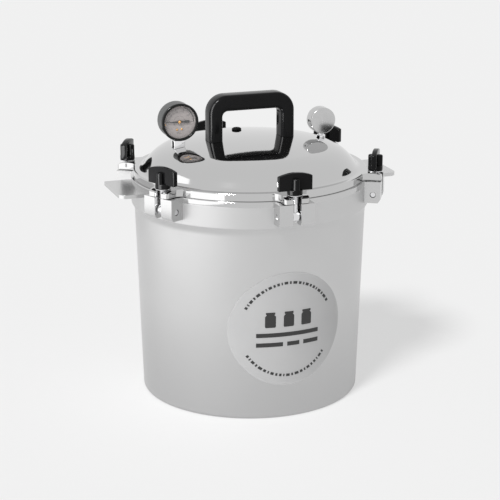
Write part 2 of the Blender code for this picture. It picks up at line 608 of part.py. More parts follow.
def make_gauge(black, glass, dial_white, brass, chrome):
    """The gauge is drawn looking up +Z from the back of its case, then turned to look along -Y."""
    face = bpy.data.objects.new("gauge_axis", None)
    bpy.context.scene.collection.objects.link(face)
    face.location = (GAUGE_X, GAUGE_BACK, GAUGE_HEIGHT)
    face.rotation_euler.x = math.radians(90.0)

    inner = CASE_RADIUS - CASE_WALL
    case_profile = [(0.0, 0.0), (CASE_RADIUS - CASE_EDGE, 0.0), (CASE_RADIUS, CASE_EDGE)]
    case_profile += [(CASE_RADIUS, CASE_DEPTH), (inner, CASE_DEPTH)]
    case_profile += [(inner, CASE_BACK_WALL), (0.0, CASE_BACK_WALL)]
    case = piece("gauge_case", turned(case_profile), black)
    downwards = shift(0.0, 0.0, SPIGOT_DEPTH) @ Matrix.Rotation(math.radians(90.0), 4, "X")
    cut(case, moved(round_bar(SPIGOT_RADIUS + 0.0005, 0.015, 0.035), downwards))

    lip = LENS_FRONT + GAP
    bezel_profile = [(LENS_RADIUS + GAP, CASE_DEPTH + GAP), (BEZEL_RADIUS, CASE_DEPTH + GAP)]
    bezel_profile += [(BEZEL_RADIUS, BEZEL_FRONT - BEZEL_EDGE), (BEZEL_RADIUS - BEZEL_EDGE, BEZEL_FRONT)]
    bezel_profile += [(SIGHT_RADIUS + SIGHT_EDGE, BEZEL_FRONT), (SIGHT_RADIUS, BEZEL_FRONT - SIGHT_EDGE)]
    bezel_profile += [(SIGHT_RADIUS, lip), (LENS_RADIUS + GAP, lip)]
    bezel = piece("gauge_bezel", turned(bezel_profile), black)
    lens = piece("gauge_lens", round_bar(LENS_RADIUS, LENS_BACK, LENS_FRONT, FINE_STEPS), glass)

    dial = piece("gauge_dial", round_bar(DIAL_RADIUS, DIAL_BACK, DIAL_FRONT, FINE_STEPS), dial_white)
    screw_places = [(side * DIAL_SCREW_X, -DIAL_SCREW_DROP) for side in (-1, 1)]
    stop = (STOP_RADIUS * math.cos(STOP_ANGLE), STOP_RADIUS * math.sin(STOP_ANGLE))
    holes = [(0.0, 0.0, 0.0016), (*stop, 0.0009)] + [(x, y, 0.0010) for x, y in screw_places]
    low, high = DIAL_BACK - 0.005, DIAL_FRONT + 0.005
    cut(dial, together([moved(round_bar(radius, low, high, 10), shift(x, y, 0.0)) for x, y, radius in holes]))

    head = DIAL_FRONT + GAP
    screw_profile = [(0.0, DIAL_SCREW_FOOT), (0.0007, DIAL_SCREW_FOOT), (0.0007, head), (0.0014, head)]
    screw_profile += [(0.0014, head + 0.0003), (0.0, head + 0.0006)]
    parts = [case, bezel, lens, dial]
    for number, (x, y) in enumerate(screw_places, start=1):
        screw = piece(f"gauge_dial_screw_{number}", turned(screw_profile, 10), brass)
        screw.location = (x, y, 0.0)
        parts.append(screw)
    pin = piece("gauge_stop_pin", round_bar(0.0006, STOP_FOOT, STOP_TOP, 10), brass)
    pin.location = (*stop, 0.0)

    blade = [(-0.0190, -0.0002), (-0.0060, -0.0009), (-0.0026, -0.0012), (0.0026, -0.0012)]
    blade += [(0.0060, -0.0014), (0.0140, -0.0016), (0.0140, 0.0016), (0.0060, 0.0014)]
    blade += [(0.0026, 0.0012), (-0.0026, 0.0012), (-0.0060, 0.0009), (-0.0190, 0.0002)]
    pointer = piece("gauge_pointer", prism(blade, POINTER_BACK, POINTER_FRONT), black)
    join(pointer, round_bar(POINTER_COLLET, POINTER_BACK - 0.0001, POINTER_FRONT + 0.0001, 16))
    cut(pointer, round_bar(ARBOR_BORE, POINTER_BACK - 0.005, POINTER_FRONT + 0.005))
    cap = POINTER_FRONT + 0.0001 + GAP
    arbor_profile = [(0.0, ARBOR_FOOT), (ARBOR_RADIUS, ARBOR_FOOT), (ARBOR_RADIUS, cap), (0.0020, cap)]
    arbor_profile += [(0.0020, cap + 0.0004), (0.0012, cap + 0.0008), (0.0, cap + 0.0009)]
    arbor = piece("gauge_arbor", turned(arbor_profile, 12), brass)

    wide, tall = MOVEMENT_HALF
    block = prism([(-wide, -tall), (wide, -tall), (wide, tall), (-wide, tall)], MOVEMENT_BACK, MOVEMENT_FRONT)
    movement = piece("gauge_movement", block, brass)
    cut(movement, round_bar(ARBOR_BORE, MOVEMENT_BACK - 0.005, MOVEMENT_FRONT + 0.005))

    path = bpy.data.curves.new("gauge_bourdon_tube", "CURVE")
    path.dimensions = "3D"
    path.bevel_depth = TUBE_RADIUS
    path.bevel_resolution = 1
    path.use_fill_caps = True
    line = path.splines.new("POLY")
    bends = 24
    line.points.add(bends)
    for index, point in enumerate(line.points):
        angle = math.radians(-82.0 + 265.0 * index / bends)
        point.co = (TUBE_BEND_RADIUS * math.cos(angle), TUBE_BEND_RADIUS * math.sin(angle), TUBE_DEPTH, 1.0)
    path.materials.append(brass)
    tube = bpy.data.objects.new("gauge_bourdon_tube", path)
    bpy.context.scene.collection.objects.link(tube)
    for part in parts + [pin, pointer, arbor, movement, tube]:
        part.parent = face

    square = [(x * STEM_HALF, y * STEM_HALF) for x, y in ((-1, -1), (1, -1), (1, 1), (-1, 1))]
    stem_place = shift(GAUGE_X, GAUGE_BACK - STEM_DEPTH, 0.0)
    spigot_place = shift(GAUGE_X, GAUGE_BACK - SPIGOT_DEPTH, 0.0)
    stem = piece("gauge_stem", moved(prism(square, STEM_NECK_BOTTOM, STEM_TOP), stem_place), chrome)
    cut(stem, dome_cutter())
    join(stem, moved(round_bar(SPIGOT_RADIUS, SPIGOT_FOOT, SPIGOT_TOP), spigot_place))
    join(stem, moved(round_bar(STEM_NECK_RADIUS, STEM_NECK_BOTTOM, STEM_NECK_TOP), stem_place))


def make_vent(material):
    place = shift(VENT_X, 0.0, 0.0)
    base = moved(round_bar(VENT_BASE_RADIUS, VENT_BOTTOM, VENT_BASE_TOP, 6), place)
    vent = piece("vent_pipe", base, material)
    cut(vent, dome_cutter())
    pipe = [(0.0, VENT_BOTTOM), (VENT_RADIUS, VENT_BOTTOM), (VENT_RADIUS, VENT_TOP - 0.003)]
    pipe += [(VENT_RADIUS - 0.002, VENT_TOP), (0.0, VENT_TOP)]
    join(vent, moved(turned(pipe, 16), place))
    cut(vent, moved(round_bar(VENT_BORE_RADIUS, VENT_BOTTOM - 0.010, VENT_TOP + 0.010, 10), place))


def make_weight(material):
    body = [(0.0, -WEIGHT_HALF), (WEIGHT_RADIUS - WEIGHT_EDGE, -WEIGHT_HALF)]
    body += [(WEIGHT_RADIUS, -WEIGHT_HALF + WEIGHT_EDGE), (WEIGHT_RADIUS, WEIGHT_HALF - WEIGHT_EDGE)]
    body += [(WEIGHT_RADIUS - WEIGHT_EDGE, WEIGHT_HALF), (0.0, WEIGHT_HALF)]
    facing = Matrix.Rotation(math.radians(90.0), 4, "X")
    weight = piece("pressure_weight", moved(turned(body), facing), material)
    cut(weight, round_bar(WEIGHT_BORE_RADIUS, -0.030, WEIGHT_BORE_TOP - WEIGHT_HEIGHT, 16))
    for quarter in (1, -1):
        sideways = Matrix.Rotation(math.radians(90.0 * quarter), 4, "Y")
        cut(weight, moved(round_bar(WEIGHT_HOLE_RADIUS, WEIGHT_HOLE_DEPTH, WEIGHT_RADIUS + 0.005), sideways))
    weight.location = (VENT_X, 0.0, WEIGHT_HEIGHT)


def make_plug(material):
    lean = math.atan(PLUG_DISTANCE / CROWN_RADIUS)
    neck = [(0.0, -PLUG_LENGTH), (PLUG_NECK_RADIUS, -PLUG_LENGTH)]
    neck += [(PLUG_NECK_RADIUS, GAP), (PLUG_RADIUS, GAP)]
    plug = piece("relief_plug", turned(neck + list(PLUG_HEAD), 20), material)
    plug.location = (0.0, PLUG_DISTANCE, dome_height(PLUG_DISTANCE))
    plug.rotation_euler.x = -lean


def main():
    clear_scene()
    cast = finish("cast_aluminium", (0.55, 0.55, 0.55), 0.35, 1.0)
    polished = finish("polished_aluminium", (0.62, 0.62, 0.62), 0.10, 1.0)
    sheet = finish("sheet_aluminium", (0.60, 0.60, 0.61), 0.30, 1.0)
    film = finish("label_film", (0.72, 0.72, 0.72), 0.45, 0.0, 0.6)
    phenolic = finish("black_phenolic", (0.012, 0.012, 0.013), 0.22, 0.0)
    steel = finish("steel", (0.60, 0.60, 0.61), 0.22, 1.0)
    zinc = finish("zinc_plate", (0.70, 0.70, 0.71), 0.25, 1.0)
    black = finish("black_enamel", (0.02, 0.02, 0.02), 0.35, 0.0)
    glass = finish("clear_glass", (0.95, 0.95, 0.95), 0.03, 0.0, 0.3)
    dial_white = finish("dial_white", (0.55, 0.53, 0.52), 0.5, 0.0)
    brass = finish("brass", (0.70, 0.42, 0.16), 0.28, 1.0)
    chrome = finish("chrome", (0.75, 0.75, 0.76), 0.08, 1.0)
    rubber = finish("black_rubber", (0.02, 0.02, 0.02), 0.6, 0.0)

    make_pot(cast)
    make_label(film)
    make_rack(sheet)
    make_lid(polished)
    make_clamps(steel, zinc, phenolic)
    make_handle(phenolic)
    make_handle_screws(steel)
    make_gauge(black, glass, dial_white, brass, chrome)
    make_vent(chrome)
    make_weight(polished)
    make_plug(rubber)


main()
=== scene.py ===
import math

import bmesh
import bpy
from mathutils import Matrix, Vector


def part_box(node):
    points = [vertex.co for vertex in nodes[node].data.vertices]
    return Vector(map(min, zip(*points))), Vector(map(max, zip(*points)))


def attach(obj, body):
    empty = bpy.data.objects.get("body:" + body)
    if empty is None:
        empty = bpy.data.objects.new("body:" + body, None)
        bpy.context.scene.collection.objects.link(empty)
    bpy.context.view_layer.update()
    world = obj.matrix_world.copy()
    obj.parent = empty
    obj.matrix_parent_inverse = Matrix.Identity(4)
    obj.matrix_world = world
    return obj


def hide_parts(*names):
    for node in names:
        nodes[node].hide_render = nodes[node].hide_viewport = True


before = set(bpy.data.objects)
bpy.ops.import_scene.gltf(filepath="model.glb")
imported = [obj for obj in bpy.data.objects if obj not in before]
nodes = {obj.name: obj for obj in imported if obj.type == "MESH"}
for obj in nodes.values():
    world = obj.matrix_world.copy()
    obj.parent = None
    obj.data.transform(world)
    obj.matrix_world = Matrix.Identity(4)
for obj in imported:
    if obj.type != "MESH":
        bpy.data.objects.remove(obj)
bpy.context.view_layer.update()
scene = bpy.context.scene
mm = 0.001  # the dictionaries below are in millimetres, and mm turns them into the scene's metres


def arcPoints(centreX, centreY, radius, start, end, steps):
    # points round an arc, angles in degrees, both ends included
    turns = [math.radians(start + (end - start) * step / steps) for step in range(steps + 1)]
    return [(centreX + radius * math.cos(turn), centreY + radius * math.sin(turn)) for turn in turns]


def rectangle(left, right, foot, top):
    # corners in millimetres, as an outline in metres
    corners = ((left, foot), (right, foot), (right, top), (left, top))
    return [(x * mm, y * mm) for x, y in corners]


def turned(profile, steps):
    # (radius, height) points spun about Z: a loop, or a line with both ends on the axis
    shape = bmesh.new()
    corners = [shape.verts.new((radius, 0.0, height)) for radius, height in profile]
    edges = [shape.edges.new(pair) for pair in zip(corners, corners[1:])]
    if profile[0][0] > 0.0:
        edges.append(shape.edges.new((corners[-1], corners[0])))
    fullTurn = 2.0 * math.pi
    bmesh.ops.spin(shape, geom=corners + edges, cent=(0, 0, 0), axis=(0, 0, 1), angle=fullTurn, steps=steps)
    bmesh.ops.remove_doubles(shape, verts=shape.verts, dist=1e-6)
    bmesh.ops.recalc_face_normals(shape, faces=shape.faces)
    return shape


def raised(outline, low, high):
    # a flat (x, y) outline given a thickness
    shape = bmesh.new()
    sheet = shape.faces.new([shape.verts.new((x, y, low)) for x, y in outline])
    grown = bmesh.ops.extrude_face_region(shape, geom=[sheet])
    top = [element for element in grown["geom"] if isinstance(element, bmesh.types.BMVert)]
    bmesh.ops.translate(shape, verts=top, vec=(0, 0, high - low))
    bmesh.ops.recalc_face_normals(shape, faces=shape.faces)
    return shape


def rod(radius, low, high, steps=32, softening=0.0):
    # a plain round bar, its two rims eased where a softening is given
    profile = [(0.0, low), (radius - softening, low)]
    if softening:
        profile += [(radius, low + softening), (radius, high - softening)]
    profile += [(radius - softening, high), (0.0, high)] if softening else [(radius, high), (0.0, high)]
    return turned(profile, steps)


def placed(shape, matrix):
    bmesh.ops.transform(shape, matrix=matrix, verts=shape.verts)
    return shape


def together(shapes):
    whole = bmesh.new()
    for shape in shapes:
        mesh = bpy.data.meshes.new("part")
        shape.to_mesh(mesh)
        shape.free()
        whole.from_mesh(mesh)
        bpy.data.meshes.remove(mesh)
    return whole


def easeEdges(shape, width, segments=3, picked=None):
    # rounds the edges that turn by more than 30 degrees, or only those that are picked
    bmesh.ops.recalc_face_normals(shape, faces=shape.faces)
    sharp = [edge for edge in shape.edges if len(edge.link_faces) == 2
             and edge.calc_face_angle(0.0) > math.radians(30.0) and (picked is None or picked(edge))]
    bmesh.ops.bevel(shape, geom=sharp, offset=width, segments=segments, profile=0.5, affect="EDGES",
                    clamp_overlap=True)
    return shape


def turnZ(degrees):
    return Matrix.Rotation(math.radians(degrees), 4, "Z")


def turnX(degrees):
    return Matrix.Rotation(math.radians(degrees), 4, "X")


def turnY(degrees):
    return Matrix.Rotation(math.radians(degrees), 4, "Y")


def shift(x, y, z):
    return Matrix.Translation((x, y, z))


def dressMesh(mesh, material, smoothTo=35.0):
    mesh.materials.clear()
    mesh.materials.append(material)
    mesh.shade_smooth()
    mesh.set_sharp_from_angle(angle=math.radians(smoothTo))


def madeObject(name, shape, material, smoothTo=35.0):
    mesh = bpy.data.meshes.new(name)
    bmesh.ops.recalc_face_normals(shape, faces=shape.faces)
    shape.to_mesh(mesh)
    shape.free()
    dressMesh(mesh, material, smoothTo)
    thing = bpy.data.objects.new(name, mesh)
    scene.collection.objects.link(thing)
    return thing


def combined(target, shape, operation):
    # cuts or joins for good
    tool = madeObject("tool", shape, target.data.materials[0])
    modifier = target.modifiers.new(operation, "BOOLEAN")
    modifier.operation = operation
    modifier.object = tool
    graph = bpy.context.evaluated_depsgraph_get()
    mesh = bpy.data.meshes.new_from_object(target.evaluated_get(graph))
    target.modifiers.clear()
    target.data = mesh
    bpy.data.objects.remove(tool, do_unlink=True)
    dressMesh(mesh, mesh.materials[0])
    return target


def easedRims(thing, width, segments=2, limit=40.0):
    # rounds every sharp edge of a finished casting, and keeps its flat faces flat
    rounding = thing.modifiers.new("rounding", "BEVEL")
    rounding.width = width
    rounding.segments = segments
    rounding.limit_method = "ANGLE"
    rounding.angle_limit = math.radians(limit)
    flattening = thing.modifiers.new("flattening", "WEIGHTED_NORMAL")
    flattening.keep_sharp = True
    return thing


def fitted(thing, body, slot, *replaced):
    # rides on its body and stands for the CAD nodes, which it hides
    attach(thing, body)
    if replaced:
        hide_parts(*replaced)
    return thing


def twinOf(model, name, matrix):
    # another object on the same mesh
    twin = bpy.data.objects.new(name, model.data)
    scene.collection.objects.link(twin)
    twin.matrix_world = matrix
    return twin


def addNode(tree, kind, inputs=None, **settings):
    made = tree.nodes.new("ShaderNode" + kind)
    for name, value in settings.items():
        setattr(made, name, value)
    for name, value in (inputs or {}).items():
        if isinstance(value, bpy.types.NodeSocket):
            tree.links.new(value, made.inputs[name])
        else:
            made.inputs[name].default_value = value
    return made


def newMaterial(name, **sockets):
    material = bpy.data.materials.new(name)
    material.use_nodes = True
    shader = material.node_tree.nodes["Principled BSDF"]
    names = {"colour": "Base Color", "metallic": "Metallic", "alpha": "Alpha",
             "specular": "Specular IOR Level"}
    for key, value in sockets.items():
        shader.inputs[names[key]].default_value = (*value, 1.0) if key == "colour" else value
    return material, material.node_tree, shader


def noiseAt(tree, vector, scale, detail=3.0, roughness=0.5):
    return addNode(tree, "TexNoise", {"Vector": vector, "Scale": scale, "Detail": detail,
                                      "Roughness": roughness}).outputs["Fac"]


def spread(tree, value, low, high):
    # a 0 to 1 value mapped to a range
    return addNode(tree, "MapRange", {"Value": value, "To Min": low, "To Max": high}).outputs["Result"]


def ramp(tree, value, start, end):
    # 0 below the start, 1 past the end
    return addNode(tree, "MapRange", {"Value": value, "From Min": start, "From Max": end}).outputs["Result"]


def objectPoint(tree):
    return addNode(tree, "TexCoord").outputs["Object"]


def latheSpace(tree, aroundScale, acrossScale):
    # a space whose noise runs in rings round Z, as a cutting tool leaves a turned part
    split = addNode(tree, "SeparateXYZ", {0: objectPoint(tree)})
    x, y, z = (split.outputs[axis] for axis in "XYZ")
    around = addNode(tree, "Math", {0: y, 1: x}, operation="ARCTAN2").outputs[0]
    squares = [addNode(tree, "Math", {0: side, 1: side}, operation="MULTIPLY").outputs[0] for side in (x, y)]
    total = addNode(tree, "Math", {0: squares[0], 1: squares[1]}, operation="ADD").outputs[0]
    radius = addNode(tree, "Math", {0: total, 1: 0.5}, operation="POWER").outputs[0]
    across = addNode(tree, "Math", {0: radius, 1: z}, operation="ADD").outputs[0]
    stretched = [addNode(tree, "Math", {0: value, 1: scale}, operation="MULTIPLY").outputs[0]
                 for value, scale in ((around, aroundScale), (across, acrossScale))]
    rings = addNode(tree, "CombineXYZ", {"X": stretched[0], "Y": stretched[1]}).outputs[0]
    return rings, z, radius


def bumped(tree, shader, layers):
    # stacks (height, distance) layers of bump on the shader
    normal = None
    for height, distance in layers:
        bump = addNode(tree, "Bump", {"Height": height, "Distance": distance, "Strength": 1.0})
        if normal is not None:
            tree.links.new(normal, bump.inputs["Normal"])
        normal = bump.outputs["Normal"]
    tree.links.new(normal, shader.inputs["Normal"])


def mixedColour(tree, factor, first, second):
    # the two ends are plain colours or the outputs of other nodes
    mix = addNode(tree, "Mix", data_type="RGBA")
    tree.links.new(factor, mix.inputs[0])
    for socket, colour in ((mix.inputs[6], first), (mix.inputs[7], second)):
        if isinstance(colour, bpy.types.NodeSocket):
            tree.links.new(colour, socket)
        else:
            socket.default_value = (*colour, 1.0)
    return mix.outputs[2]


def finished(tree, shader, finish, colourNoise, roughNoise):
    # a colour between two tones, and a roughness within its range
    colour = mixedColour(tree, colourNoise, finish["light"], finish["dark"])
    tree.links.new(colour, shader.inputs["Base Color"])
    tree.links.new(spread(tree, roughNoise, *finish["roughness"]), shader.inputs["Roughness"])


castFinish = {
    "light": (0.600, 0.600, 0.600), "dark": (0.570, 0.570, 0.571),
    "wallRoughness": (0.40, 0.48), "lugRoughness": (0.20, 0.28), "rimRoughness": (0.07, 0.12),
    "polishedAbove": 0.3058, "lugsBeyond": 0.1695,  # the rim band, and the lugs and ears
    "paintedShadeTone": (0.475, 0.475, 0.477), "paintedShadeTo": 0.150,  # painted shade: the base colour turns darker towards the foot
    "ringDepth": 0.00005, "fineDepth": 0.000003,
}


def castAluminium():
    # satin and finely turned, with a polished rim, and lugs and ears in between
    material, tree, shader = newMaterial("castAluminium", metallic=1.0)
    rings, height, radius = latheSpace(tree, 0.9, 320.0)
    fineRings = latheSpace(tree, 2.5, 1900.0)[0]
    ringNoise = noiseAt(tree, rings, 1.0, 4.0, 0.6)
    fineNoise = noiseAt(tree, fineRings, 1.0, 2.0)
    cloud = noiseAt(tree, objectPoint(tree), 14.0, 3.0)
    above = ramp(tree, height, castFinish["polishedAbove"] - 0.0006, castFinish["polishedAbove"] + 0.0006)
    beyond = ramp(tree, radius, castFinish["lugsBeyond"] - 0.0005, castFinish["lugsBeyond"] + 0.0005)
    polish = addNode(tree, "Math", {0: above, 1: beyond}, operation="MAXIMUM").outputs[0]
    wall = spread(tree, fineNoise, *castFinish["wallRoughness"])
    rim = spread(tree, cloud, *castFinish["rimRoughness"])
    lugs = spread(tree, cloud, *castFinish["lugRoughness"])
    ringed = addNode(tree, "Mix", {0: above, 2: wall, 3: rim}).outputs[0]
    rough = addNode(tree, "Mix", {0: beyond, 2: ringed, 3: lugs}).outputs[0]
    tree.links.new(rough, shader.inputs["Roughness"])
    unshadedTone = mixedColour(tree, cloud, castFinish["light"], castFinish["dark"])
    # painted shade: below this height the base colour fades to a darker tone at the foot
    paintedShadeFade = ramp(tree, height, 0.0, castFinish["paintedShadeTo"])
    tree.links.new(mixedColour(tree, paintedShadeFade, castFinish["paintedShadeTone"], unshadedTone), shader.inputs["Base Color"])
    unpolished = addNode(tree, "Math", {0: 1.0, 1: polish}, operation="SUBTRACT").outputs[0]
    lines = addNode(tree, "Math", {0: ringNoise, 1: unpolished}, operation="MULTIPLY").outputs[0]
    bumped(tree, shader, [(lines, castFinish["ringDepth"]), (fineNoise, castFinish["fineDepth"])])
    return material


lidFinish = {
    "light": (0.590, 0.590, 0.590), "dark": (0.572, 0.572, 0.573), "roughness": (0.040, 0.075),
    "ringDepth": 0.000014, "fineDepth": 0.0000012,
}


def polishedAluminium():
    # buffed bright, with the faint rings of the lathe still in it
    material, tree, shader = newMaterial("polishedAluminium", metallic=1.0)
    rings = latheSpace(tree, 0.7, 420.0)[0]
    fineRings = latheSpace(tree, 1.5, 2300.0)[0]
    ringNoise = noiseAt(tree, rings, 1.0, 3.0)
    fineNoise = noiseAt(tree, fineRings, 1.0, 2.0)
    cloud = noiseAt(tree, objectPoint(tree), 22.0, 3.0)
    finished(tree, shader, lidFinish, cloud, cloud)
    bumped(tree, shader, [(ringNoise, lidFinish["ringDepth"]), (fineNoise, lidFinish["fineDepth"])])
    return material


def brightMetal(name, colour, roughness, grain=900.0):
    # plated or drawn metal with fine brushing
    material, tree, shader = newMaterial(name, metallic=1.0)
    point = objectPoint(tree)
    streaks = addNode(tree, "Mapping", {"Vector": point, "Scale": (1.0, 1.0, 0.12)}).outputs[0]
    brush = noiseAt(tree, streaks, grain, 2.0)
    cloud = noiseAt(tree, point, 120.0, 2.0)
    finish = {"light": colour, "dark": tuple(channel * 0.88 for channel in colour),
              "roughness": (roughness * 0.75, roughness * 1.3)}
    finished(tree, shader, finish, cloud, brush)
    bumped(tree, shader, [(brush, 0.000006)])
    return material


def mouldedBlack(name, colour, roughness, grain, depth, specular=0.5):
    # moulded black: a faint flow mottle, pinhole grain and a worn sheen
    material, tree, shader = newMaterial(name, specular=specular)
    point = objectPoint(tree)
    mottle = noiseAt(tree, point, grain * 0.12, 4.0, 0.6)
    pits = noiseAt(tree, point, grain, 2.0)
    finish = {"light": colour, "dark": tuple(channel * 1.9 for channel in colour),
              "roughness": (roughness * 0.8, roughness * 1.25)}
    finished(tree, shader, finish, mottle, mottle)
    bumped(tree, shader, [(pits, depth)])
    return material


filmFinish = {
    "alpha": 0.62, "light": (0.62, 0.62, 0.62), "dark": (0.58, 0.58, 0.585), "roughness": (0.42, 0.56),
    "fibreDepth": 0.00001,
}
inkFinish = {"light": (0.012, 0.012, 0.012), "dark": (0.03, 0.03, 0.03), "roughness": (0.45, 0.60)}
cardFinish = {
    "light": (0.40, 0.355, 0.345), "dark": (0.33, 0.300, 0.292), "roughness": (0.50, 0.70),
    "grainDepth": 0.000008,
}
glassFinish = {"colour": (0.9, 0.9, 0.9), "alpha": 0.05, "roughness": (0.02, 0.06)}


def frostedFilm():
    material, tree, shader = newMaterial("frostedFilm", alpha=filmFinish["alpha"])
    point = objectPoint(tree)
    fibres = noiseAt(tree, point, 260.0, 4.0, 0.6)
    cloud = noiseAt(tree, point, 30.0, 2.0)
    finished(tree, shader, filmFinish, cloud, fibres)
    bumped(tree, shader, [(fibres, filmFinish["fibreDepth"])])
    return material


def printInk():
    material, tree, shader = newMaterial("printInk")
    speckle = noiseAt(tree, objectPoint(tree), 1400.0, 2.0)
    finished(tree, shader, inkFinish, speckle, speckle)
    return material


def dialCard():
    material, tree, shader = newMaterial("dialCard")
    point = objectPoint(tree)
    stain = noiseAt(tree, point, 130.0, 3.0)
    grain = noiseAt(tree, point, 2600.0, 2.0)
    finished(tree, shader, cardFinish, stain, grain)
    bumped(tree, shader, [(grain, cardFinish["grainDepth"])])
    return material


def windowGlass():
    material, tree, shader = newMaterial("windowGlass", colour=glassFinish["colour"],
                                         alpha=glassFinish["alpha"])
    smear = noiseAt(tree, objectPoint(tree), 150.0, 3.0)
    tree.links.new(spread(tree, smear, *glassFinish["roughness"]), shader.inputs["Roughness"])
    return material


materials = {
    "cast": castAluminium(),
    "polished": polishedAluminium(),
    "sheet": brightMetal("sheetAluminium", (0.62, 0.62, 0.63), 0.30, 500.0),
    "steel": brightMetal("plainSteel", (0.82, 0.82, 0.83), 0.16),
    "zinc": brightMetal("zincPlate", (0.78, 0.78, 0.79), 0.16),
    "chrome": brightMetal("chromePlate", (0.92, 0.92, 0.93), 0.06),
    "weight": brightMetal("weightMetal", (0.61, 0.61, 0.61), 0.17, 1200.0),
    "brass": brightMetal("yellowBrass", (0.85, 0.44, 0.12), 0.30),
    "phenolic": mouldedBlack("blackPhenolic", (0.0018, 0.0018, 0.0019), 0.12, 2200.0, 0.000003, 0.11),
    "enamel": mouldedBlack("greyEnamel", (0.036, 0.037, 0.037), 0.36, 3000.0, 0.000012, 0.35),
    "glossBlack": mouldedBlack("glossBlack", (0.0035, 0.0035, 0.0035), 0.12, 3000.0, 0.000004, 0.25),
    "rubber": mouldedBlack("blackRubber", (0.004, 0.004, 0.004), 0.60, 1800.0, 0.00002, 0.08),
    "needle": mouldedBlack("needleBlack", (0.006, 0.006, 0.006), 0.45, 3000.0, 0.000005, 0.25),
    "film": frostedFilm(),
    "ink": printInk(),
    "card": dialCard(),
    "glass": windowGlass(),
}
print("materials made:", len(materials))


studio = {
    "azimuth": -19.465, "elevation": 16.483, "distance": 2.3277, "aim": (0.0, 0.0, 0.1982),
    "lens": 116.41, "shiftX": 0.0006,
    "paper": 0.879,  # the pale ground, as the camera, metal and glass see it
    "fill": 0.35,  # the light that it gives to dull surfaces
    "floorGlow": 0.555, "floorWhite": 0.30, "floorReach": 30.0,
    # the distant soft lamp, the soft box at the left, and the narrow lamp for the black mouldings
    "keyAzimuth": -138.0, "keyElevation": 50.0, "keySpread": 13.0, "keyStrength": 2.93,
    "panelPlace": (-0.85, -0.25, 0.55), "panelSize": (1.40, 1.10), "panelGlow": 0.85,
    "stripTurn": 208.0, "stripAway": 0.70, "stripSize": (0.44, 0.96), "stripFoot": 0.02, "stripGlow": 15.0,
}


def makeCamera():
    lens = bpy.data.cameras.new("camera")
    lens.sensor_width = 36.0
    lens.lens = studio["lens"]
    lens.shift_x = studio["shiftX"]
    lens.clip_start, lens.clip_end = 0.05, 100.0
    camera = bpy.data.objects.new("camera", lens)
    scene.collection.objects.link(camera)
    azimuth, elevation = math.radians(studio["azimuth"]), math.radians(studio["elevation"])
    back = Vector((math.sin(azimuth) * math.cos(elevation), -math.cos(azimuth) * math.cos(elevation),
                   math.sin(elevation)))
    camera.location = Vector(studio["aim"]) + back * studio["distance"]
    camera.rotation_euler = (-back).to_track_quat("-Z", "Y").to_euler()
    scene.camera = camera


def makeKeyLamp():
    # far enough away that the floor is lit evenly
    lamp = bpy.data.lights.new("keyLamp", "SUN")
    lamp.energy = studio["keyStrength"]
    lamp.angle = math.radians(studio["keySpread"])
    thing = bpy.data.objects.new("keyLamp", lamp)
    scene.collection.objects.link(thing)
    azimuth, elevation = math.radians(studio["keyAzimuth"]), math.radians(studio["keyElevation"])
    towards = Vector((math.cos(azimuth) * math.cos(elevation), math.sin(azimuth) * math.cos(elevation),
                      math.sin(elevation)))
    thing.rotation_euler = (-towards).to_track_quat("-Z", "Y").to_euler()


def makeWorld():
    world = bpy.data.worlds.new("studio")
    world.use_nodes = True
    tree = world.node_tree
    tree.nodes.clear()
    rays = addNode(tree, "LightPath")
    seen = rays.outputs["Is Camera Ray"]
    for ray in ("Is Glossy Ray", "Is Transmission Ray"):
        seen = addNode(tree, "Math", {0: seen, 1: rays.outputs[ray]}, operation="MAXIMUM").outputs[0]
    level = spread(tree, seen, studio["fill"], studio["paper"])
    sky = addNode(tree, "Background", {"Color": (1.0, 1.0, 1.0, 1.0), "Strength": level})
    addNode(tree, "OutputWorld", {"Surface": sky.outputs[0]})
    scene.world = world


def makeFloor():
    mesh = bpy.data.meshes.new("floor")
    reach = studio["floorReach"]
    mesh.from_pydata([(-reach, -reach, 0), (reach, -reach, 0), (reach, reach, 0), (-reach, reach, 0)], [],
                     [(0, 1, 2, 3)])
    floor = bpy.data.objects.new("floor", mesh)
    scene.collection.objects.link(floor)
    material = bpy.data.materials.new("paleFloor")
    material.use_nodes = True
    tree = material.node_tree
    tree.nodes.clear()
    glow = addNode(tree, "Emission", {"Color": (1.0, 1.0, 1.0, 1.0), "Strength": studio["floorGlow"]})
    white = studio["floorWhite"]
    matte = addNode(tree, "BsdfDiffuse", {"Color": (white, white, white, 1.0)})
    both = addNode(tree, "AddShader", {0: glow.outputs[0], 1: matte.outputs[0]})
    addNode(tree, "OutputMaterial", {"Surface": both.outputs[0]})
    mesh.materials.append(material)
    return floor


def makeSoftLamp(name, place, size, glow, towards, linked):
    # a flat lamp with a set brightness, and the collection that says what it lights
    lamp = bpy.data.lights.new(name, "AREA")
    lamp.shape = "RECTANGLE"
    lamp.size, lamp.size_y = size
    lamp.energy = glow * math.pi * lamp.size * lamp.size_y
    thing = bpy.data.objects.new(name, lamp)
    scene.collection.objects.link(thing)
    thing.location = place
    thing.rotation_euler = Vector(towards).to_track_quat("-Z", "Y").to_euler()
    thing.visible_camera = False
    lit = bpy.data.collections.new(name + "Lights")
    for part in linked:
        lit.objects.link(part)
    thing.light_linking.receiver_collection = lit
    return lit


def makePanel(floor):
    # a soft box for the metal to mirror; it leaves the floor alone, which stays even
    lit = makeSoftLamp("softBox", studio["panelPlace"], studio["panelSize"], studio["panelGlow"],
                       (1.0, 0.0, 0.0), [floor])
    lit.collection_objects[0].light_linking.link_state = "EXCLUDE"


def makeStrip(blackParts):
    # a narrow lamp that draws its line along the rounded edges of the black mouldings only
    turn = math.radians(studio["stripTurn"])
    away = Vector((math.cos(turn), math.sin(turn), 0.0))
    height = studio["stripSize"][1] / 2.0 + studio["stripFoot"]
    makeSoftLamp("stripLamp", away * studio["stripAway"] + Vector((0.0, 0.0, height)), studio["stripSize"],
                 studio["stripGlow"], -away, blackParts)


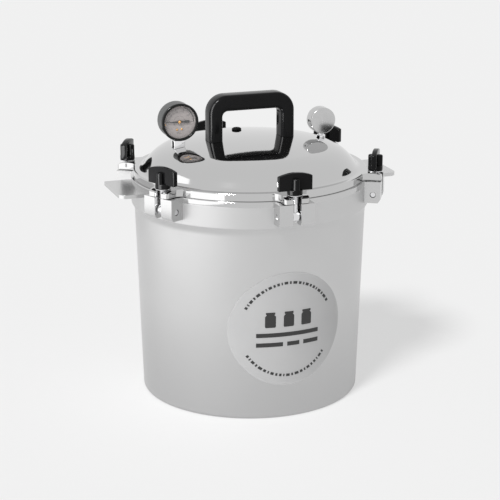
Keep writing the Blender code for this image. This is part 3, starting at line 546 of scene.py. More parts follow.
makeCamera()
makeWorld()
makePanel(makeFloor())
makeKeyLamp()
scene.view_settings.view_transform = "Standard"
print("studio made")


potSizes = {
    "base": 155.2, "wallTop": (163.75, 266.5), "foot": 4.5, "collar": 168.2, "collarFrom": 276.0,
    "band": 168.7, "bandFrom": 306.4, "rim": 313.2, "bore": 157.0, "boreFoot": 148.7, "seat": (4.5, 9.0),
    "floor": 8.0, "floorFillet": 12.0, "lugHalf": 25.0, "lugFoot": 283.0, "lugRoot": 163.0, "lugReach": 188.9,
    "lugChamfer": 5.0, "lugBelowRim": 0.3,
    "earTop": 309.0, "earThick": 5.0, "earReach": 204.5, "earRoot": 164.0,
    "earFront": -53.0, "earBack": 34.0, "earFrontCorner": 10.5, "earBackCorner": 3.5, "steps": 192,
    "cove": ((-0.1, -3.0), (0.1, 0.0), (0.6, 2.0), (1.6, 4.6)),  # from the top of the wall out to the collar
    "collarFoot": (-1.3, -2.0), "collarCorner": 3.0, "bandStep": 0.2, "rimCorner": 1.0, "softening": 0.7,
}
clampSizes = {
    "circle": 178.5, "pinHeight": 294.8, "slotHalf": 5.75, "slotEnd": 8.6, "slotCorner": 1.8,
    "pinHole": 4.2, "slotReach": 200.0, "count": 6, "first": -90.0,
}
clampTurns = [clampSizes["first"] + 360.0 * index / clampSizes["count"]
              for index in range(clampSizes["count"])]


def slotTool(low, high):
    # cuts one slot, round-cornered at its inner end and open at its outer one
    size = clampSizes
    cornerX = (size["circle"] - size["slotEnd"] + size["slotCorner"]) * mm
    cornerY = (size["slotHalf"] - size["slotCorner"]) * mm
    radius = size["slotCorner"] * mm
    outline = arcPoints(cornerX, cornerY, radius, 90.0, 180.0, 6)
    outline += arcPoints(cornerX, -cornerY, radius, 180.0, 270.0, 6)
    reach, half = size["slotReach"] * mm, size["slotHalf"] * mm
    outline += [(reach, -half), (reach, half)]
    return raised(outline, low, high)


def potLug():
    size = potSizes
    root, reach, foot = size["lugRoot"] * mm, size["lugReach"] * mm, size["lugFoot"] * mm
    top = (size["rim"] - size["lugBelowRim"]) * mm
    chamfer, half = size["lugChamfer"] * mm, size["lugHalf"] * mm
    side = [(root, foot), (reach - 0.7 * chamfer, foot), (reach, foot + chamfer), (reach, top), (root, top)]
    return placed(raised(side, -half, half), turnX(90.0))


def earPlate():
    # a thin plate whose front corner is cut back further than its rear one
    size = potSizes
    root, reach = size["earRoot"] * mm, size["earReach"] * mm
    front, back = size["earFront"] * mm, size["earBack"] * mm
    frontCorner, backCorner = size["earFrontCorner"] * mm, size["earBackCorner"] * mm
    turns = [math.degrees(math.asin(edge / root)) for edge in (back, front)]
    outline = arcPoints(0.0, 0.0, root, *turns, 12)
    outline += arcPoints(reach - frontCorner, front + frontCorner, frontCorner, -90.0, 0.0, 10)
    outline += arcPoints(reach - backCorner, back - backCorner, backCorner, 0.0, 90.0, 6)
    return raised(outline, (size["earTop"] - size["earThick"]) * mm, size["earTop"] * mm)


def makePot():
    size = potSizes
    base, foot, floor = size["base"] * mm, size["foot"] * mm, size["floor"] * mm
    wallEdge, wallTop = (value * mm for value in size["wallTop"])
    collar, collarFrom = size["collar"] * mm, size["collarFrom"] * mm
    band, bandFrom, rim = size["band"] * mm, size["bandFrom"] * mm, size["rim"] * mm
    taper = (wallEdge - base) / wallTop
    profile = [(0.0, 0.0)] + arcPoints(base + taper * foot - foot, foot, foot, -90.0, -2.0, 8)
    heights = [foot + (wallTop - foot) * step / 6 for step in range(1, 6)]
    profile += [(base + taper * height, height) for height in heights]
    profile += [(wallEdge + out * mm, wallTop + up * mm) for out, up in size["cove"]]
    out, up = size["collarFoot"]
    profile.append((collar + out * mm, collarFrom + up * mm))
    corner, step = size["collarCorner"] * mm, size["bandStep"] * mm
    profile += arcPoints(collar - corner, collarFrom + corner / 3.0, corner, -25.0, 0.0, 4)
    profile += [(collar, bandFrom - 2.0 * step), (collar + step, bandFrom), (band, bandFrom + 3.0 * step)]
    corner = size["rimCorner"] * mm
    profile += arcPoints(band - corner, rim - corner, corner, 0.0, 90.0, 4)
    seatWidth, seatDepth = (value * mm for value in size["seat"])
    bore, fillet = size["bore"] * mm, size["floorFillet"] * mm
    profile += [(bore + seatWidth, rim), (bore, rim - seatDepth)]
    boreFoot = size["boreFoot"] * mm
    profile += arcPoints(boreFoot - fillet, floor + fillet, fillet, 0.0, -90.0, 8) + [(0.0, floor)]
    pot = madeObject("potBody", turned(profile, size["steps"]), materials["cast"])
    combined(pot, together([placed(potLug(), turnZ(turn)) for turn in clampTurns]), "UNION")
    mirrored = Matrix.Scale(-1.0, 4, (1.0, 0.0, 0.0))
    otherEar = placed(earPlate(), mirrored)
    bmesh.ops.recalc_face_normals(otherEar, faces=otherEar.faces)
    combined(pot, together([earPlate(), otherEar]), "UNION")
    combined(pot, together([placed(slotTool(0.25, 0.34), turnZ(turn)) for turn in clampTurns]), "DIFFERENCE")
    pinPlace = shift(clampSizes["circle"] * mm, 0.0, clampSizes["pinHeight"] * mm) @ turnX(90.0)
    holes = [placed(rod(clampSizes["pinHole"] * mm, -0.03, 0.03, 28), turnZ(turn) @ pinPlace)
             for turn in clampTurns]
    combined(pot, together(holes), "DIFFERENCE")
    easedRims(pot, size["softening"] * mm)
    fitted(pot, "pot", "cast_aluminium", "pot")


makePot()
print("pot made")


lidSizes = {
    "top": 365.7, "crownRadius": 608.6, "crownEdge": 108.0, "shoulder": 62.0, "shoulderEnd": 52.0,
    "cove": 10.0, "flange": 165.1, "flangeTop": 323.7, "flangeEdge": 2.0, "thick": 6.5, "skirtFoot": 301.5,
    "skirtInner": 149.5, "skirtTop": (148.5, 318.0), "skirtInset": 1.3, "gap": 0.3, "steps": 192,
    "lugHalf": 17.5, "lugFrom": 150.0, "lugTop": 323.6, "lugReach": 188.9, "lugAboveRim": 0.6,
    "flareFrom": 160.0, "flareEnd": 174.5, "flareWide": 8.5, "tipLong": 3.0, "tipNarrowing": 2.2,
    "noseRadius": 29.10, "noseLead": 4.13, "plugHole": 4.8, "ventHole": 5.0, "softening": 0.6,
}


def domeHeight(radius):
    return lidSizes["top"] * mm - radius * radius / (2.0 * lidSizes["crownRadius"] * mm)


def domeLine(offset, crownSteps, shoulderSteps):
    # the dome from its middle out to the end of the shoulder, moved out by the offset
    size = lidSizes
    edge, crownRadius, shoulder = size["crownEdge"] * mm, size["crownRadius"] * mm, size["shoulder"] * mm
    slope = math.atan(edge / crownRadius)
    line = []
    for step in range(crownSteps):
        radius = edge * step / crownSteps
        tilt = math.atan(radius / crownRadius)
        line.append((radius + offset * math.sin(tilt), domeHeight(radius) + offset * math.cos(tilt)))
    centre = (edge - shoulder * math.sin(slope), domeHeight(edge) - shoulder * math.cos(slope))
    start, end = 90.0 - math.degrees(slope), 90.0 - size["shoulderEnd"]
    return line + arcPoints(*centre, shoulder + offset, start, end, shoulderSteps)


def noseHeight(beyond):
    # the lug's top, which falls away on a circle about the pin so that the washer can swing past
    size = lidSizes
    top, lead, radius = size["lugTop"] * mm, size["noseLead"] * mm, size["noseRadius"] * mm
    if beyond < -lead:
        return top
    rounded = clampSizes["pinHeight"] * mm + math.sqrt(radius * radius - (beyond + lead) ** 2)
    return min(top, rounded)


def lidLug():
    # flares out where it joins the flange and narrows at its tip
    size = lidSizes
    half, start, reach = size["lugHalf"] * mm, size["lugFrom"] * mm, size["lugReach"] * mm
    bottom = (potSizes["rim"] + size["lugAboveRim"]) * mm
    flareFrom, flareEnd, tip = size["flareFrom"] * mm, size["flareEnd"] * mm, size["tipLong"] * mm
    shape = bmesh.new()
    rings = []
    steps = 26
    for step in range(steps + 1):
        x = start + (reach - start) * step / steps
        flare = max(0.0, (flareEnd - max(x, flareFrom)) / (flareEnd - flareFrom))
        close = max(0.0, (x - (reach - tip)) / tip)
        width = half + size["flareWide"] * mm * flare * flare - size["tipNarrowing"] * mm * close * close
        top = noseHeight(x - clampSizes["circle"] * mm)
        corners = ((-width, bottom), (width, bottom), (width, top), (-width, top))
        rings.append([shape.verts.new((x, y, z)) for y, z in corners])
    for near, far in zip(rings, rings[1:]):
        for index in range(4):
            after = (index + 1) % 4
            shape.faces.new((near[index], near[after], far[after], far[index]))
    shape.faces.new(rings[0])
    shape.faces.new(rings[-1])
    bmesh.ops.recalc_face_normals(shape, faces=shape.faces)
    return shape


def makeLid():
    size = lidSizes
    flange, flangeTop, edge = size["flange"] * mm, size["flangeTop"] * mm, size["flangeEdge"] * mm
    cove, slope = size["cove"] * mm, math.radians(size["shoulderEnd"])
    profile = domeLine(0.0, 24, 24)
    drop = profile[-1][1] - flangeTop - cove * (1.0 - math.cos(slope))
    coveEnd = profile[-1][0] + drop / math.tan(slope) + cove * math.sin(slope)
    profile += arcPoints(coveEnd, flangeTop + cove, cove, 270.0 - size["shoulderEnd"], 270.0, 12)
    profile += arcPoints(flange - edge, flangeTop - edge, edge, 90.0, 0.0, 6)
    gap, rim = size["gap"] * mm, potSizes["rim"] * mm
    seatWidth, seatDepth = (value * mm for value in potSizes["seat"])
    seatGap = gap * math.hypot(1.0, seatWidth / seatDepth)
    bore = potSizes["bore"] * mm
    seatOuter = bore + seatWidth - seatGap
    profile += [(flange, rim + gap), (seatOuter, rim + gap), (bore - seatGap, rim - seatDepth)]
    skirtFoot = size["skirtFoot"] * mm
    profile += [(bore - size["skirtInset"] * mm, skirtFoot), (size["skirtInner"] * mm, skirtFoot)]
    profile.append(tuple(value * mm for value in size["skirtTop"]))
    profile += reversed(domeLine(-size["thick"] * mm, 12, 12))
    lid = madeObject("lidDome", turned(profile, size["steps"]), materials["polished"])
    combined(lid, together([placed(lidLug(), turnZ(turn)) for turn in clampTurns]), "UNION")
    combined(lid, together([placed(slotTool(0.30, 0.34), turnZ(turn)) for turn in clampTurns]), "DIFFERENCE")
    plugLow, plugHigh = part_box("relief_plug")
    ventLow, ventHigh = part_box("vent_pipe")
    holes = [(0.0, (plugLow.y + plugHigh.y) / 2.0, size["plugHole"]),
             ((ventLow.x + ventHigh.x) / 2.0, 0.0, size["ventHole"])]
    tools = [placed(rod(radius * mm, 0.32, 0.40, 28), shift(x, y, 0.0)) for x, y, radius in holes]
    combined(lid, together(tools), "DIFFERENCE")
    easedRims(lid, size["softening"] * mm)
    fitted(lid, "lid", "polished_aluminium", "lid")


makeLid()
print("lid made")


hardware = {
    "pinRadius": 3.8, "boltRadius": 4.75, "threadDepth": 0.55, "threadPitch": 1.6, "threadFrom": 14.0,
    "eyeRadius": 7.3, "eyeHalf": 4.8, "eyeHole": 4.4, "eyeSoftening": 0.8, "shankInset": 0.2,
    "washerRadius": 10.7, "washerHole": 5.3, "washerEase": 0.2, "pinEase": 0.5,
}


def threadedShank(radius, low, high, depth, pitch):
    # a bar whose surface winds up in a helix, closed at both ends
    around, perPitch = 24, 6
    rows = max(2, int((high - low) / pitch * perPitch))
    shape = bmesh.new()
    rings = []
    for row in range(rows + 1):
        height = low + (high - low) * row / rows
        fade = min(1.0, row / perPitch, (rows - row) / perPitch)
        ring = []
        for index in range(around):
            turn = index / around
            phase = (height / pitch - turn) % 1.0
            ridge = abs(2.0 * phase - 1.0)
            local = radius - depth * ridge * fade - (0.0008 if row in (0, rows) else 0.0)
            spin = 2.0 * math.pi * turn
            ring.append(shape.verts.new((local * math.cos(spin), local * math.sin(spin), height)))
        rings.append(ring)
    for near, far in zip(rings, rings[1:]):
        for index in range(around):
            after = (index + 1) % around
            shape.faces.new((near[index], near[after], far[after], far[index]))
    shape.faces.new(list(reversed(rings[0])))
    shape.faces.new(rings[-1])
    return shape


def boltModel():
    # stands on its eye's centre
    size = hardware
    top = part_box("clamp_1_bolt")[1].z - clampSizes["pinHeight"] * mm
    radius, shoulder = size["boltRadius"] * mm, size["threadFrom"] * mm
    shank = rod(radius - size["shankInset"] * mm, 0.0, shoulder + 0.001, 32, 0.0004)
    bolt = madeObject("boltModel", shank, materials["steel"])
    eyeHalf = size["eyeHalf"] * mm
    eye = rod(size["eyeRadius"] * mm, -eyeHalf, eyeHalf, 40, size["eyeSoftening"] * mm)
    combined(bolt, placed(eye, turnX(90.0)), "UNION")
    thread = threadedShank(radius, shoulder, top, size["threadDepth"] * mm, size["threadPitch"] * mm)
    combined(bolt, thread, "UNION")
    combined(bolt, placed(rod(size["eyeHole"] * mm, -0.02, 0.02, 32), turnX(90.0)), "DIFFERENCE")
    return bolt


nutSizes = {
    "hub": 10.4, "hubTop": 7.0, "ribTop": 22.0, "ribHalf": 4.8, "wingHalf": 23.8, "wingThick": 3.5,
    "wingFoot": 5.0, "wingEndTop": 24.5, "wingTop": 29.0, "bore": 5.3, "boreTop": 16.2, "softening": 1.0,
    "footEase": 0.6, "hubCorner": 2.2, "ribFoot": 3.0, "ribInset": 0.2, "ribCorner": 2.2,
}


def nutModel():
    # a round hub, a tall rounded rib across it, and one flat wing with a crowned top
    size = nutSizes
    hub, hubTop = size["hub"] * mm, size["hubTop"] * mm
    ease, corner = size["footEase"] * mm, size["hubCorner"] * mm
    profile = [(0.0, 0.0), (hub - ease, 0.0), (hub, ease)]
    profile += arcPoints(hub - corner, hubTop - corner, corner, 0.0, 90.0, 6) + [(0.0, hubTop)]
    nut = madeObject("nutModel", turned(profile, 48), materials["phenolic"])
    ribHalf, ribTop = size["ribHalf"] * mm, size["ribTop"] * mm
    end = hub - size["ribInset"] * mm - ribHalf
    outline = arcPoints(end, 0.0, ribHalf, -90.0, 90.0, 14) + arcPoints(-end, 0.0, ribHalf, 90.0, 270.0, 14)
    rib = easeEdges(raised(outline, size["ribFoot"] * mm, ribTop), size["ribCorner"] * mm, 4,
                    lambda edge: min(vert.co.z for vert in edge.verts) > ribTop - 1e-5)
    combined(nut, rib, "UNION")
    half, endTop, top = size["wingHalf"] * mm, size["wingEndTop"] * mm, size["wingTop"] * mm
    rise = top - endTop
    bow = (half * half + rise * rise) / (2.0 * rise)
    reach = math.degrees(math.asin(half / bow))
    outline = arcPoints(0.0, top - bow, bow, 90.0 - reach, 90.0 + reach, 16)
    outline += [(-half, size["wingFoot"] * mm), (half, size["wingFoot"] * mm)]
    thick = size["wingThick"] * mm
    wing = easeEdges(raised(outline, -thick, thick), size["softening"] * mm, 3)
    combined(nut, placed(wing, turnZ(90.0) @ turnX(90.0)), "UNION")
    combined(nut, rod(size["bore"] * mm, -0.005, size["boreTop"] * mm, 32), "DIFFERENCE")
    return nut


def makeClamps():
    size = hardware
    pinLow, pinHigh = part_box("clamp_1_pin")
    half = (pinHigh.x - pinLow.x) / 2.0
    pinShape = rod(size["pinRadius"] * mm, -half, half, 28, size["pinEase"] * mm)
    pin = madeObject("pinModel", placed(pinShape, turnX(90.0)), materials["steel"])
    washerLow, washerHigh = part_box("clamp_1_washer")
    thick = washerHigh.z - washerLow.z
    outer, inner = size["washerRadius"] * mm, size["washerHole"] * mm
    ease = size["washerEase"] * mm
    washerLine = [(inner, ease), (inner + ease, 0.0), (outer - ease, 0.0), (outer, ease)]
    washerLine += [(outer, thick - ease), (outer - ease, thick), (inner + ease, thick), (inner, thick - ease)]
    washer = madeObject("washerModel", turned(washerLine, 48), materials["zinc"])
    bolt, nut = boltModel(), nutModel()
    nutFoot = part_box("clamp_1_wing_nut")[0].z
    pivot = clampSizes["pinHeight"] * mm
    for number, turn in enumerate(clampTurns, start=1):
        stand = turnZ(turn) @ shift(clampSizes["circle"] * mm, 0.0, 0.0)
        clamp = f"clamp_{number}_"
        for model, height, name, body, slot, node in (
                (pin, pivot, "clampPin", "pot", "steel", clamp + "pin"),
                (bolt, pivot, "swingBolt", clamp + "bolt", "steel", clamp + "bolt"),
                (washer, washerLow.z, "washer", clamp + "washer", "zinc_plate", clamp + "washer"),
                (nut, nutFoot, "wingNut", clamp + "nut", "black_phenolic", clamp + "wing_nut")):
            fitted(twinOf(model, f"{name}{number}", stand @ shift(0, 0, height)), body, slot, node)
    for model in (pin, washer, bolt, nut):
        bpy.data.objects.remove(model, do_unlink=True)


makeClamps()
print("clamps made")


handleSizes = {
    "half": 62.7, "innerHalf": 43.5, "halfDepth": 13.75, "top": 428.1, "underside": 405.6,
    "corner": 26.0, "innerCorner": 8.0, "softening": 5.2, "foot": 350.0,
}


def domeTool():
    # everything under the dome and its working gap, for trimming what stands on it
    crown = [point for point in domeLine(lidSizes["gap"] * mm, 16, 12) if point[0] < 0.135]
    return turned(crown + [(crown[-1][0], 0.30), (0.0, 0.30)], 96)


def makeHandle():
    size = handleSizes
    half, inner, depth = size["half"] * mm, size["innerHalf"] * mm, size["halfDepth"] * mm
    top, under, foot = size["top"] * mm, size["underside"] * mm, size["foot"] * mm
    corner, innerCorner = size["corner"] * mm, size["innerCorner"] * mm
    outline = [(half, foot)]
    outline += arcPoints(half - corner, top - corner, corner, 0.0, 90.0, 20)
    outline += arcPoints(corner - half, top - corner, corner, 90.0, 180.0, 20)
    outline += [(-half, foot), (-inner, foot)]
    outline += arcPoints(innerCorner - inner, under - innerCorner, innerCorner, 180.0, 90.0, 10)
    outline += arcPoints(inner - innerCorner, under - innerCorner, innerCorner, 90.0, 0.0, 10)
    outline += [(inner, foot)]
    shape = easeEdges(raised(outline, -depth, depth), size["softening"] * mm, 5,
                      lambda edge: abs(edge.verts[0].co.z - edge.verts[1].co.z) < 1e-6)
    handle = madeObject("handle", placed(shape, turnX(90.0)), materials["phenolic"])
    combined(handle, domeTool(), "DIFFERENCE")
    fitted(handle, "lid", "black_phenolic", "handle")


makeHandle()
print("handle made")


gaugeSizes = {
    "case": 25.8, "wall": 1.5, "backWall": 2.6, "depth": 21.5, "backEdge": 0.8, "bezel": 26.4,
    "bezelFront": 26.5, "sight": 22.7, "lens": 24.4, "lensBack": 24.0, "lensFront": 25.1, "dial": 23.7,
    "dialBack": 19.7, "dialFront": 20.5, "screwFoot": 18.5, "stopTurn": 188.0, "stopRadius": 20.8,
    "stopSpan": (19.1, 22.7), "needle": (21.7, 22.3), "arborFoot": 12.0,
    "stemHalf": 7.9, "stemTop": 367.8, "neck": 6.0, "spigot": 4.2, "spigotDepth": 10.5,
    "caseCut": (0.6, 1.0, 1.6), "lensBow": 300.0, "fit": 0.3, "stemSoftening": 0.9, "neckTop": 364.0,
    "spigotFoot": 362.0,
}
dialSizes = {
    "lift": 0.02, "thick": 0.04, "scaleOuter": 19.6, "scaleInner": 17.6, "longMark": 1.2,
    "markHalf": (0.13, 0.28), "numberRing": 14.4, "numberSize": 3.4,
    "zeroTurn": 178.0, "fullTurn": -2.0, "fullScale": 25, "arcFrom": 15, "arc": (0.4, 1.6),
    "ring": (7.9, 8.2), "ringTurns": (-60.0, 240.0), "bars": ((3.2, 1.6), (2.0, 3.4)),
    "barPlace": (-3.6, -14.8), "barPitch": 1.6, "barTall": 0.5, "barGap": 0.8,
}
needleEdge = (  # one edge of the needle, from its tip to its tail
    (-19.0, 0.2), (-7.0, 0.9), (-2.6, 1.3), (2.6, 1.3), (6.4, 1.1), (9.0, 1.9), (14.0, 1.7),
)
caseLow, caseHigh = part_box("gauge_case")
gaugePlace = shift((caseLow.x + caseHigh.x) / 2.0, caseHigh.y, (caseLow.z + caseHigh.z) / 2.0) @ turnX(90.0)


def printedNumber(text, size, thickness):
    # a plain number as a closed solid, centred on its place
    words = bpy.data.curves.new("number", "FONT")
    words.body = text
    words.size = size
    words.extrude = thickness / 2.0
    words.resolution_u = 3
    words.align_x, words.align_y = "CENTER", "CENTER"
    thing = bpy.data.objects.new("number", words)
    scene.collection.objects.link(thing)
    bpy.context.view_layer.update()
    mesh = thing.to_mesh()
    shape = bmesh.new()
    shape.from_mesh(mesh)
    bmesh.ops.remove_doubles(shape, verts=shape.verts, dist=1e-7)
    thing.to_mesh_clear()
    bpy.data.objects.remove(thing, do_unlink=True)
    return shape


def dialMarks():
    # the printed scale: marks, numbers, the arc at its top end, a fine ring and two rows of bars
    size = dialSizes
    face = (gaugeSizes["dialFront"] + size["lift"]) * mm
    thick = size["thick"] * mm
    span = size["fullTurn"] - size["zeroTurn"]
    outer, inner = size["scaleOuter"] * mm, size["scaleInner"] * mm
    marks = []
    for value in range(size["fullScale"] + 1):
        turn = size["zeroTurn"] + span * value / size["fullScale"]
        strong = value % 5 == 0
        start = inner - (size["longMark"] * mm if strong else 0.0)
        half = size["markHalf"][strong] * mm
        bar = raised([(start, -half), (outer, -half), (outer, half), (start, half)], face, face + thick)
        marks.append(placed(bar, turnZ(turn)))
        if strong:
            spin = math.radians(turn)
            ring = size["numberRing"] * mm
            place = shift(ring * math.cos(spin), ring * math.sin(spin), face + thick / 2.0)
            marks.append(placed(printedNumber(str(value), size["numberSize"] * mm, thick), place))
    low = size["zeroTurn"] + span * size["arcFrom"] / size["fullScale"]
    near, far = (outer + value * mm for value in size["arc"])
    sweep = arcPoints(0, 0, near, low, size["fullTurn"], 20)
    back = arcPoints(0, 0, far, size["fullTurn"], low, 20)
    marks.append(raised(sweep + back, face, face + thick))
    near, far = (value * mm for value in size["ring"])
    start, end = size["ringTurns"]
    ring = arcPoints(0, 0, far, start, end, 40) + arcPoints(0, 0, near, end, start, 40)
    marks.append(raised(ring, face, face + thick))
    for row, widths in enumerate(size["bars"]):
        left, foot = size["barPlace"][0], size["barPlace"][1] - size["barPitch"] * row
        for width in widths:
            bar = rectangle(left, left + width, foot, foot + size["barTall"])
            marks.append(raised(bar, face, face + thick))
            left += width + size["barGap"]
    return together(marks)


def makeGauge():
    # its parts are turned about Z and then stood up, facing the front
    size = gaugeSizes
    case, wall, depth = size["case"] * mm, size["wall"] * mm, size["depth"] * mm
    edge, backWall = size["backEdge"] * mm, size["backWall"] * mm
    line = [(0.0, 0.0)] + arcPoints(case - edge, edge, edge, -90.0, 0.0, 5)
    inset, upper, lower = (value * mm for value in size["caseCut"])
    line += [(case, depth - lower), (case - inset, depth - upper), (case - inset, depth)]
    line += [(case - wall, depth), (case - wall, backWall), (0.0, backWall)]
    shell = madeObject("gaugeCase", placed(turned(line, 96), gaugePlace), materials["enamel"])
    fitted(shell, "lid", "black_enamel", "gauge_case")

    fit = size["fit"] * mm
    lip, bezel, sight = size["lensFront"] * mm + fit, size["bezel"] * mm, size["sight"] * mm
    front, lens = size["bezelFront"] * mm, size["lens"] * mm
    line = [(lens + fit, depth + fit), (bezel - fit, depth + fit), (bezel, depth + 2.0 * fit)]
    line += arcPoints(bezel - 0.0016, front - 0.0016, 0.0016, 0.0, 90.0, 6)
    line += arcPoints(sight + 0.0014, front - 0.0014, 0.0014, 90.0, 180.0, 6)
    line += [(sight, lip), (lens + fit, lip)]
    ring = madeObject("gaugeBezel", placed(turned(line, 96), gaugePlace), materials["glossBlack"])
    fitted(ring, "lid", "black_enamel", "gauge_bezel")

    back, bow = size["lensBack"] * mm, size["lensBow"] * mm
    crown = arcPoints(0.0, size["lensFront"] * mm - bow, bow, 90.0 - math.degrees(lens / bow), 90.0, 8)
    line = [(0.0, back), (lens, back)] + crown[:-1] + [(0.0, size["lensFront"] * mm)]
    window = madeObject("gaugeWindow", placed(turned(line, 96), gaugePlace), materials["glass"])
    fitted(window, "lid", "clear_glass", "gauge_lens")

    dial, dialBack, dialFront = size["dial"] * mm, size["dialBack"] * mm, size["dialFront"] * mm
    cardShape = placed(rod(dial, dialBack, dialFront, 96, 0.0001), gaugePlace)
    card = madeObject("gaugeDial", cardShape, materials["card"])
    fitted(card, "lid", "dial_card", "gauge_dial")
    marks = madeObject("gaugeMarks", placed(dialMarks(), gaugePlace), materials["ink"])
    fitted(marks, "lid", "needle_black")

    head = dialFront + fit
    foot = size["screwFoot"] * mm
    screwLine = [(0.0, foot), (0.0007, foot), (0.0007, head), (0.0014, head), (0.0015, head + 0.0001)]
    screwLine += [(0.0013, head + 0.0003), (0.0008, head + 0.0005), (0.0, head + 0.0006)]
    for number in (1, 2):
        low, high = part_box(f"gauge_dial_screw_{number}")
        middle = (low + high) / 2.0
        place = shift(middle.x, caseHigh.y, middle.z) @ turnX(90.0)
        screw = madeObject(f"dialScrew{number}", placed(turned(screwLine, 28), place), materials["brass"])
        fitted(screw, "lid", "brass", f"gauge_dial_screw_{number}")
    stop = math.radians(size["stopTurn"])
    stopRadius = size["stopRadius"] * mm
    place = gaugePlace @ shift(stopRadius * math.cos(stop), stopRadius * math.sin(stop), 0.0)
    low, high = (value * mm for value in size["stopSpan"])
    pin = madeObject("stopPin", placed(rod(0.0007, low, high, 20, 0.0002), place), materials["brass"])
    fitted(pin, "lid", "brass", "gauge_stop_pin")

    blade = [(x * mm, -y * mm) for x, y in needleEdge] + [(x * mm, y * mm) for x, y in reversed(needleEdge)]
    low, high = (value * mm for value in size["needle"])
    needle = madeObject("gaugeNeedle", placed(raised(blade, low, high), gaugePlace), materials["needle"])
    collet = placed(rod(0.0028, low - 0.0001, high + 0.0001, 32, 0.0002), gaugePlace)
    combined(needle, collet, "UNION")
    fitted(needle, "gauge_needle", "needle_black", "gauge_pointer")
    foot, cap = size["arborFoot"] * mm, high + 0.0004
    hubLine = [(0.0, foot), (0.0010, foot), (0.0010, cap), (0.0020, cap), (0.0021, cap + 0.0002)]
    hubLine += [(0.0019, cap + 0.0005), (0.0012, cap + 0.0008), (0.0, cap + 0.0009)]
    hub = madeObject("needleHub", placed(turned(hubLine, 32), gaugePlace), materials["brass"])
    fitted(hub, "gauge_needle", "brass", "gauge_arbor")

    stemLow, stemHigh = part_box("gauge_stem")
    middleX, middleY = (stemLow.x + stemHigh.x) / 2.0, (stemLow.y + stemHigh.y) / 2.0
    square = rectangle(-size["stemHalf"], size["stemHalf"], -size["stemHalf"], size["stemHalf"])
    shank = easeEdges(raised(square, stemLow.z, size["stemTop"] * mm), size["stemSoftening"] * mm, 3)
    stem = madeObject("gaugeStem", placed(shank, shift(middleX, middleY, 0.0)), materials["chrome"])
    combined(stem, domeTool(), "DIFFERENCE")
    neck = rod(size["neck"] * mm, stemLow.z, size["neckTop"] * mm, 40, 0.0005)
    combined(stem, placed(neck, shift(middleX, middleY, 0.0)), "UNION")
    spigot = rod(size["spigot"] * mm, size["spigotFoot"] * mm, stemHigh.z, 32, 0.0005)
    combined(stem, placed(spigot, shift(middleX, caseHigh.y - size["spigotDepth"] * mm, 0.0)), "UNION")
    fitted(stem, "lid", "chrome", "gauge_stem")


makeGauge()
print("gauge made")


ventSizes = {
    "pipe": 4.2, "hex": 7.0, "hexTop": 359.8, "hexSoftening": 0.5, "foot": 344.0, "top": 379.0, "bore": 1.6,
    "nose": ((0.0, -3.0), (-0.4, -2.4), (-2.0, -0.3), (-2.3, 0.0)),  # out from the pipe and down from its top
}
weightSizes = {
    "radius": 18.75, "half": 9.0, "edge": 1.4, "bore": 4.8, "boreTop": -1.3,
    "rimHole": 2.0, "rimHoleFrom": 13.0,
}
plugSizes = {
    "radius": 7.0, "neck": 3.8, "neckFoot": -12.0, "back": 57.0,
    "crown": ((7.0, 1.4), (6.7, 2.2), (5.8, 3.0), (4.4, 3.7), (2.4, 4.2), (0.0, 4.4)),
}


def makeVent():
    size = ventSizes
    low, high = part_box("vent_pipe")
    place = shift((low.x + high.x) / 2.0, 0.0, 0.0)
    hexOutline = arcPoints(0, 0, size["hex"] * mm, 0.0, 300.0, 5)
    hexFoot = domeHeight(lidSizes["crownEdge"] * mm) - 1.0 * mm
    nut = easeEdges(raised(hexOutline, hexFoot, size["hexTop"] * mm), size["hexSoftening"] * mm, 2)
    vent = madeObject("ventPipe", placed(nut, place), materials["chrome"])
    pipe, foot, top = size["pipe"] * mm, size["foot"] * mm, size["top"] * mm
    line = [(0.0, foot), (pipe, foot)] + [(pipe + out * mm, top + up * mm) for out, up in size["nose"]]
    line.append((0.0, top))
    combined(vent, placed(turned(line, 40), place), "UNION")
    combined(vent, placed(rod(size["bore"] * mm, 0.33, 0.39, 24), place), "DIFFERENCE")
    fitted(vent, "lid", "chrome", "vent_pipe")


def makeWeight():
    # a round block on edge: a bore from below for the pipe, and a blind hole in each side
    size = weightSizes
    low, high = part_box("pressure_weight")
    middle = (low + high) / 2.0
    radius, half, edge = size["radius"] * mm, size["half"] * mm, size["edge"] * mm
    line = [(0.0, -half), (radius - edge, -half)]
    line += arcPoints(radius - edge, edge - half, edge, -90.0, 0.0, 6)[1:]
    line += arcPoints(radius - edge, half - edge, edge, 0.0, 90.0, 6) + [(0.0, half)]
    weight = madeObject("pressureWeight", placed(turned(line, 96), turnX(90.0)), materials["weight"])
    combined(weight, rod(size["bore"] * mm, -0.030, size["boreTop"] * mm, 32), "DIFFERENCE")
    sideHoles = [placed(rod(size["rimHole"] * mm, size["rimHoleFrom"] * mm, 0.0250, 24), turnY(turn))
                 for turn in (90.0, -90.0)]
    combined(weight, together(sideHoles), "DIFFERENCE")
    weight.matrix_world = shift(*middle)
    fitted(weight, "pressure_weight", "weight_metal", "pressure_weight")


def makePlug():
    # square to the dome where it stands
    size = plugSizes
    distance, seat = size["back"] * mm, lidSizes["gap"] * mm
    plug, neck, foot = size["radius"] * mm, size["neck"] * mm, size["neckFoot"] * mm
    line = [(0.0, foot), (neck, foot), (neck, seat), (plug - seat, seat), (plug, 2.0 * seat)]
    line += [(radius * mm, height * mm) for radius, height in size["crown"]]
    lean = math.degrees(math.atan(distance / (lidSizes["crownRadius"] * mm)))
    place = shift(0.0, distance, domeHeight(distance)) @ turnX(-lean)
    thing = madeObject("reliefPlug", placed(turned(line, 40), place), materials["rubber"], 60.0)
    fitted(thing, "relief_plug", "black_rubber", "relief_plug")


makeVent()
makeWeight()
makePlug()
print("vent, weight and plug made")


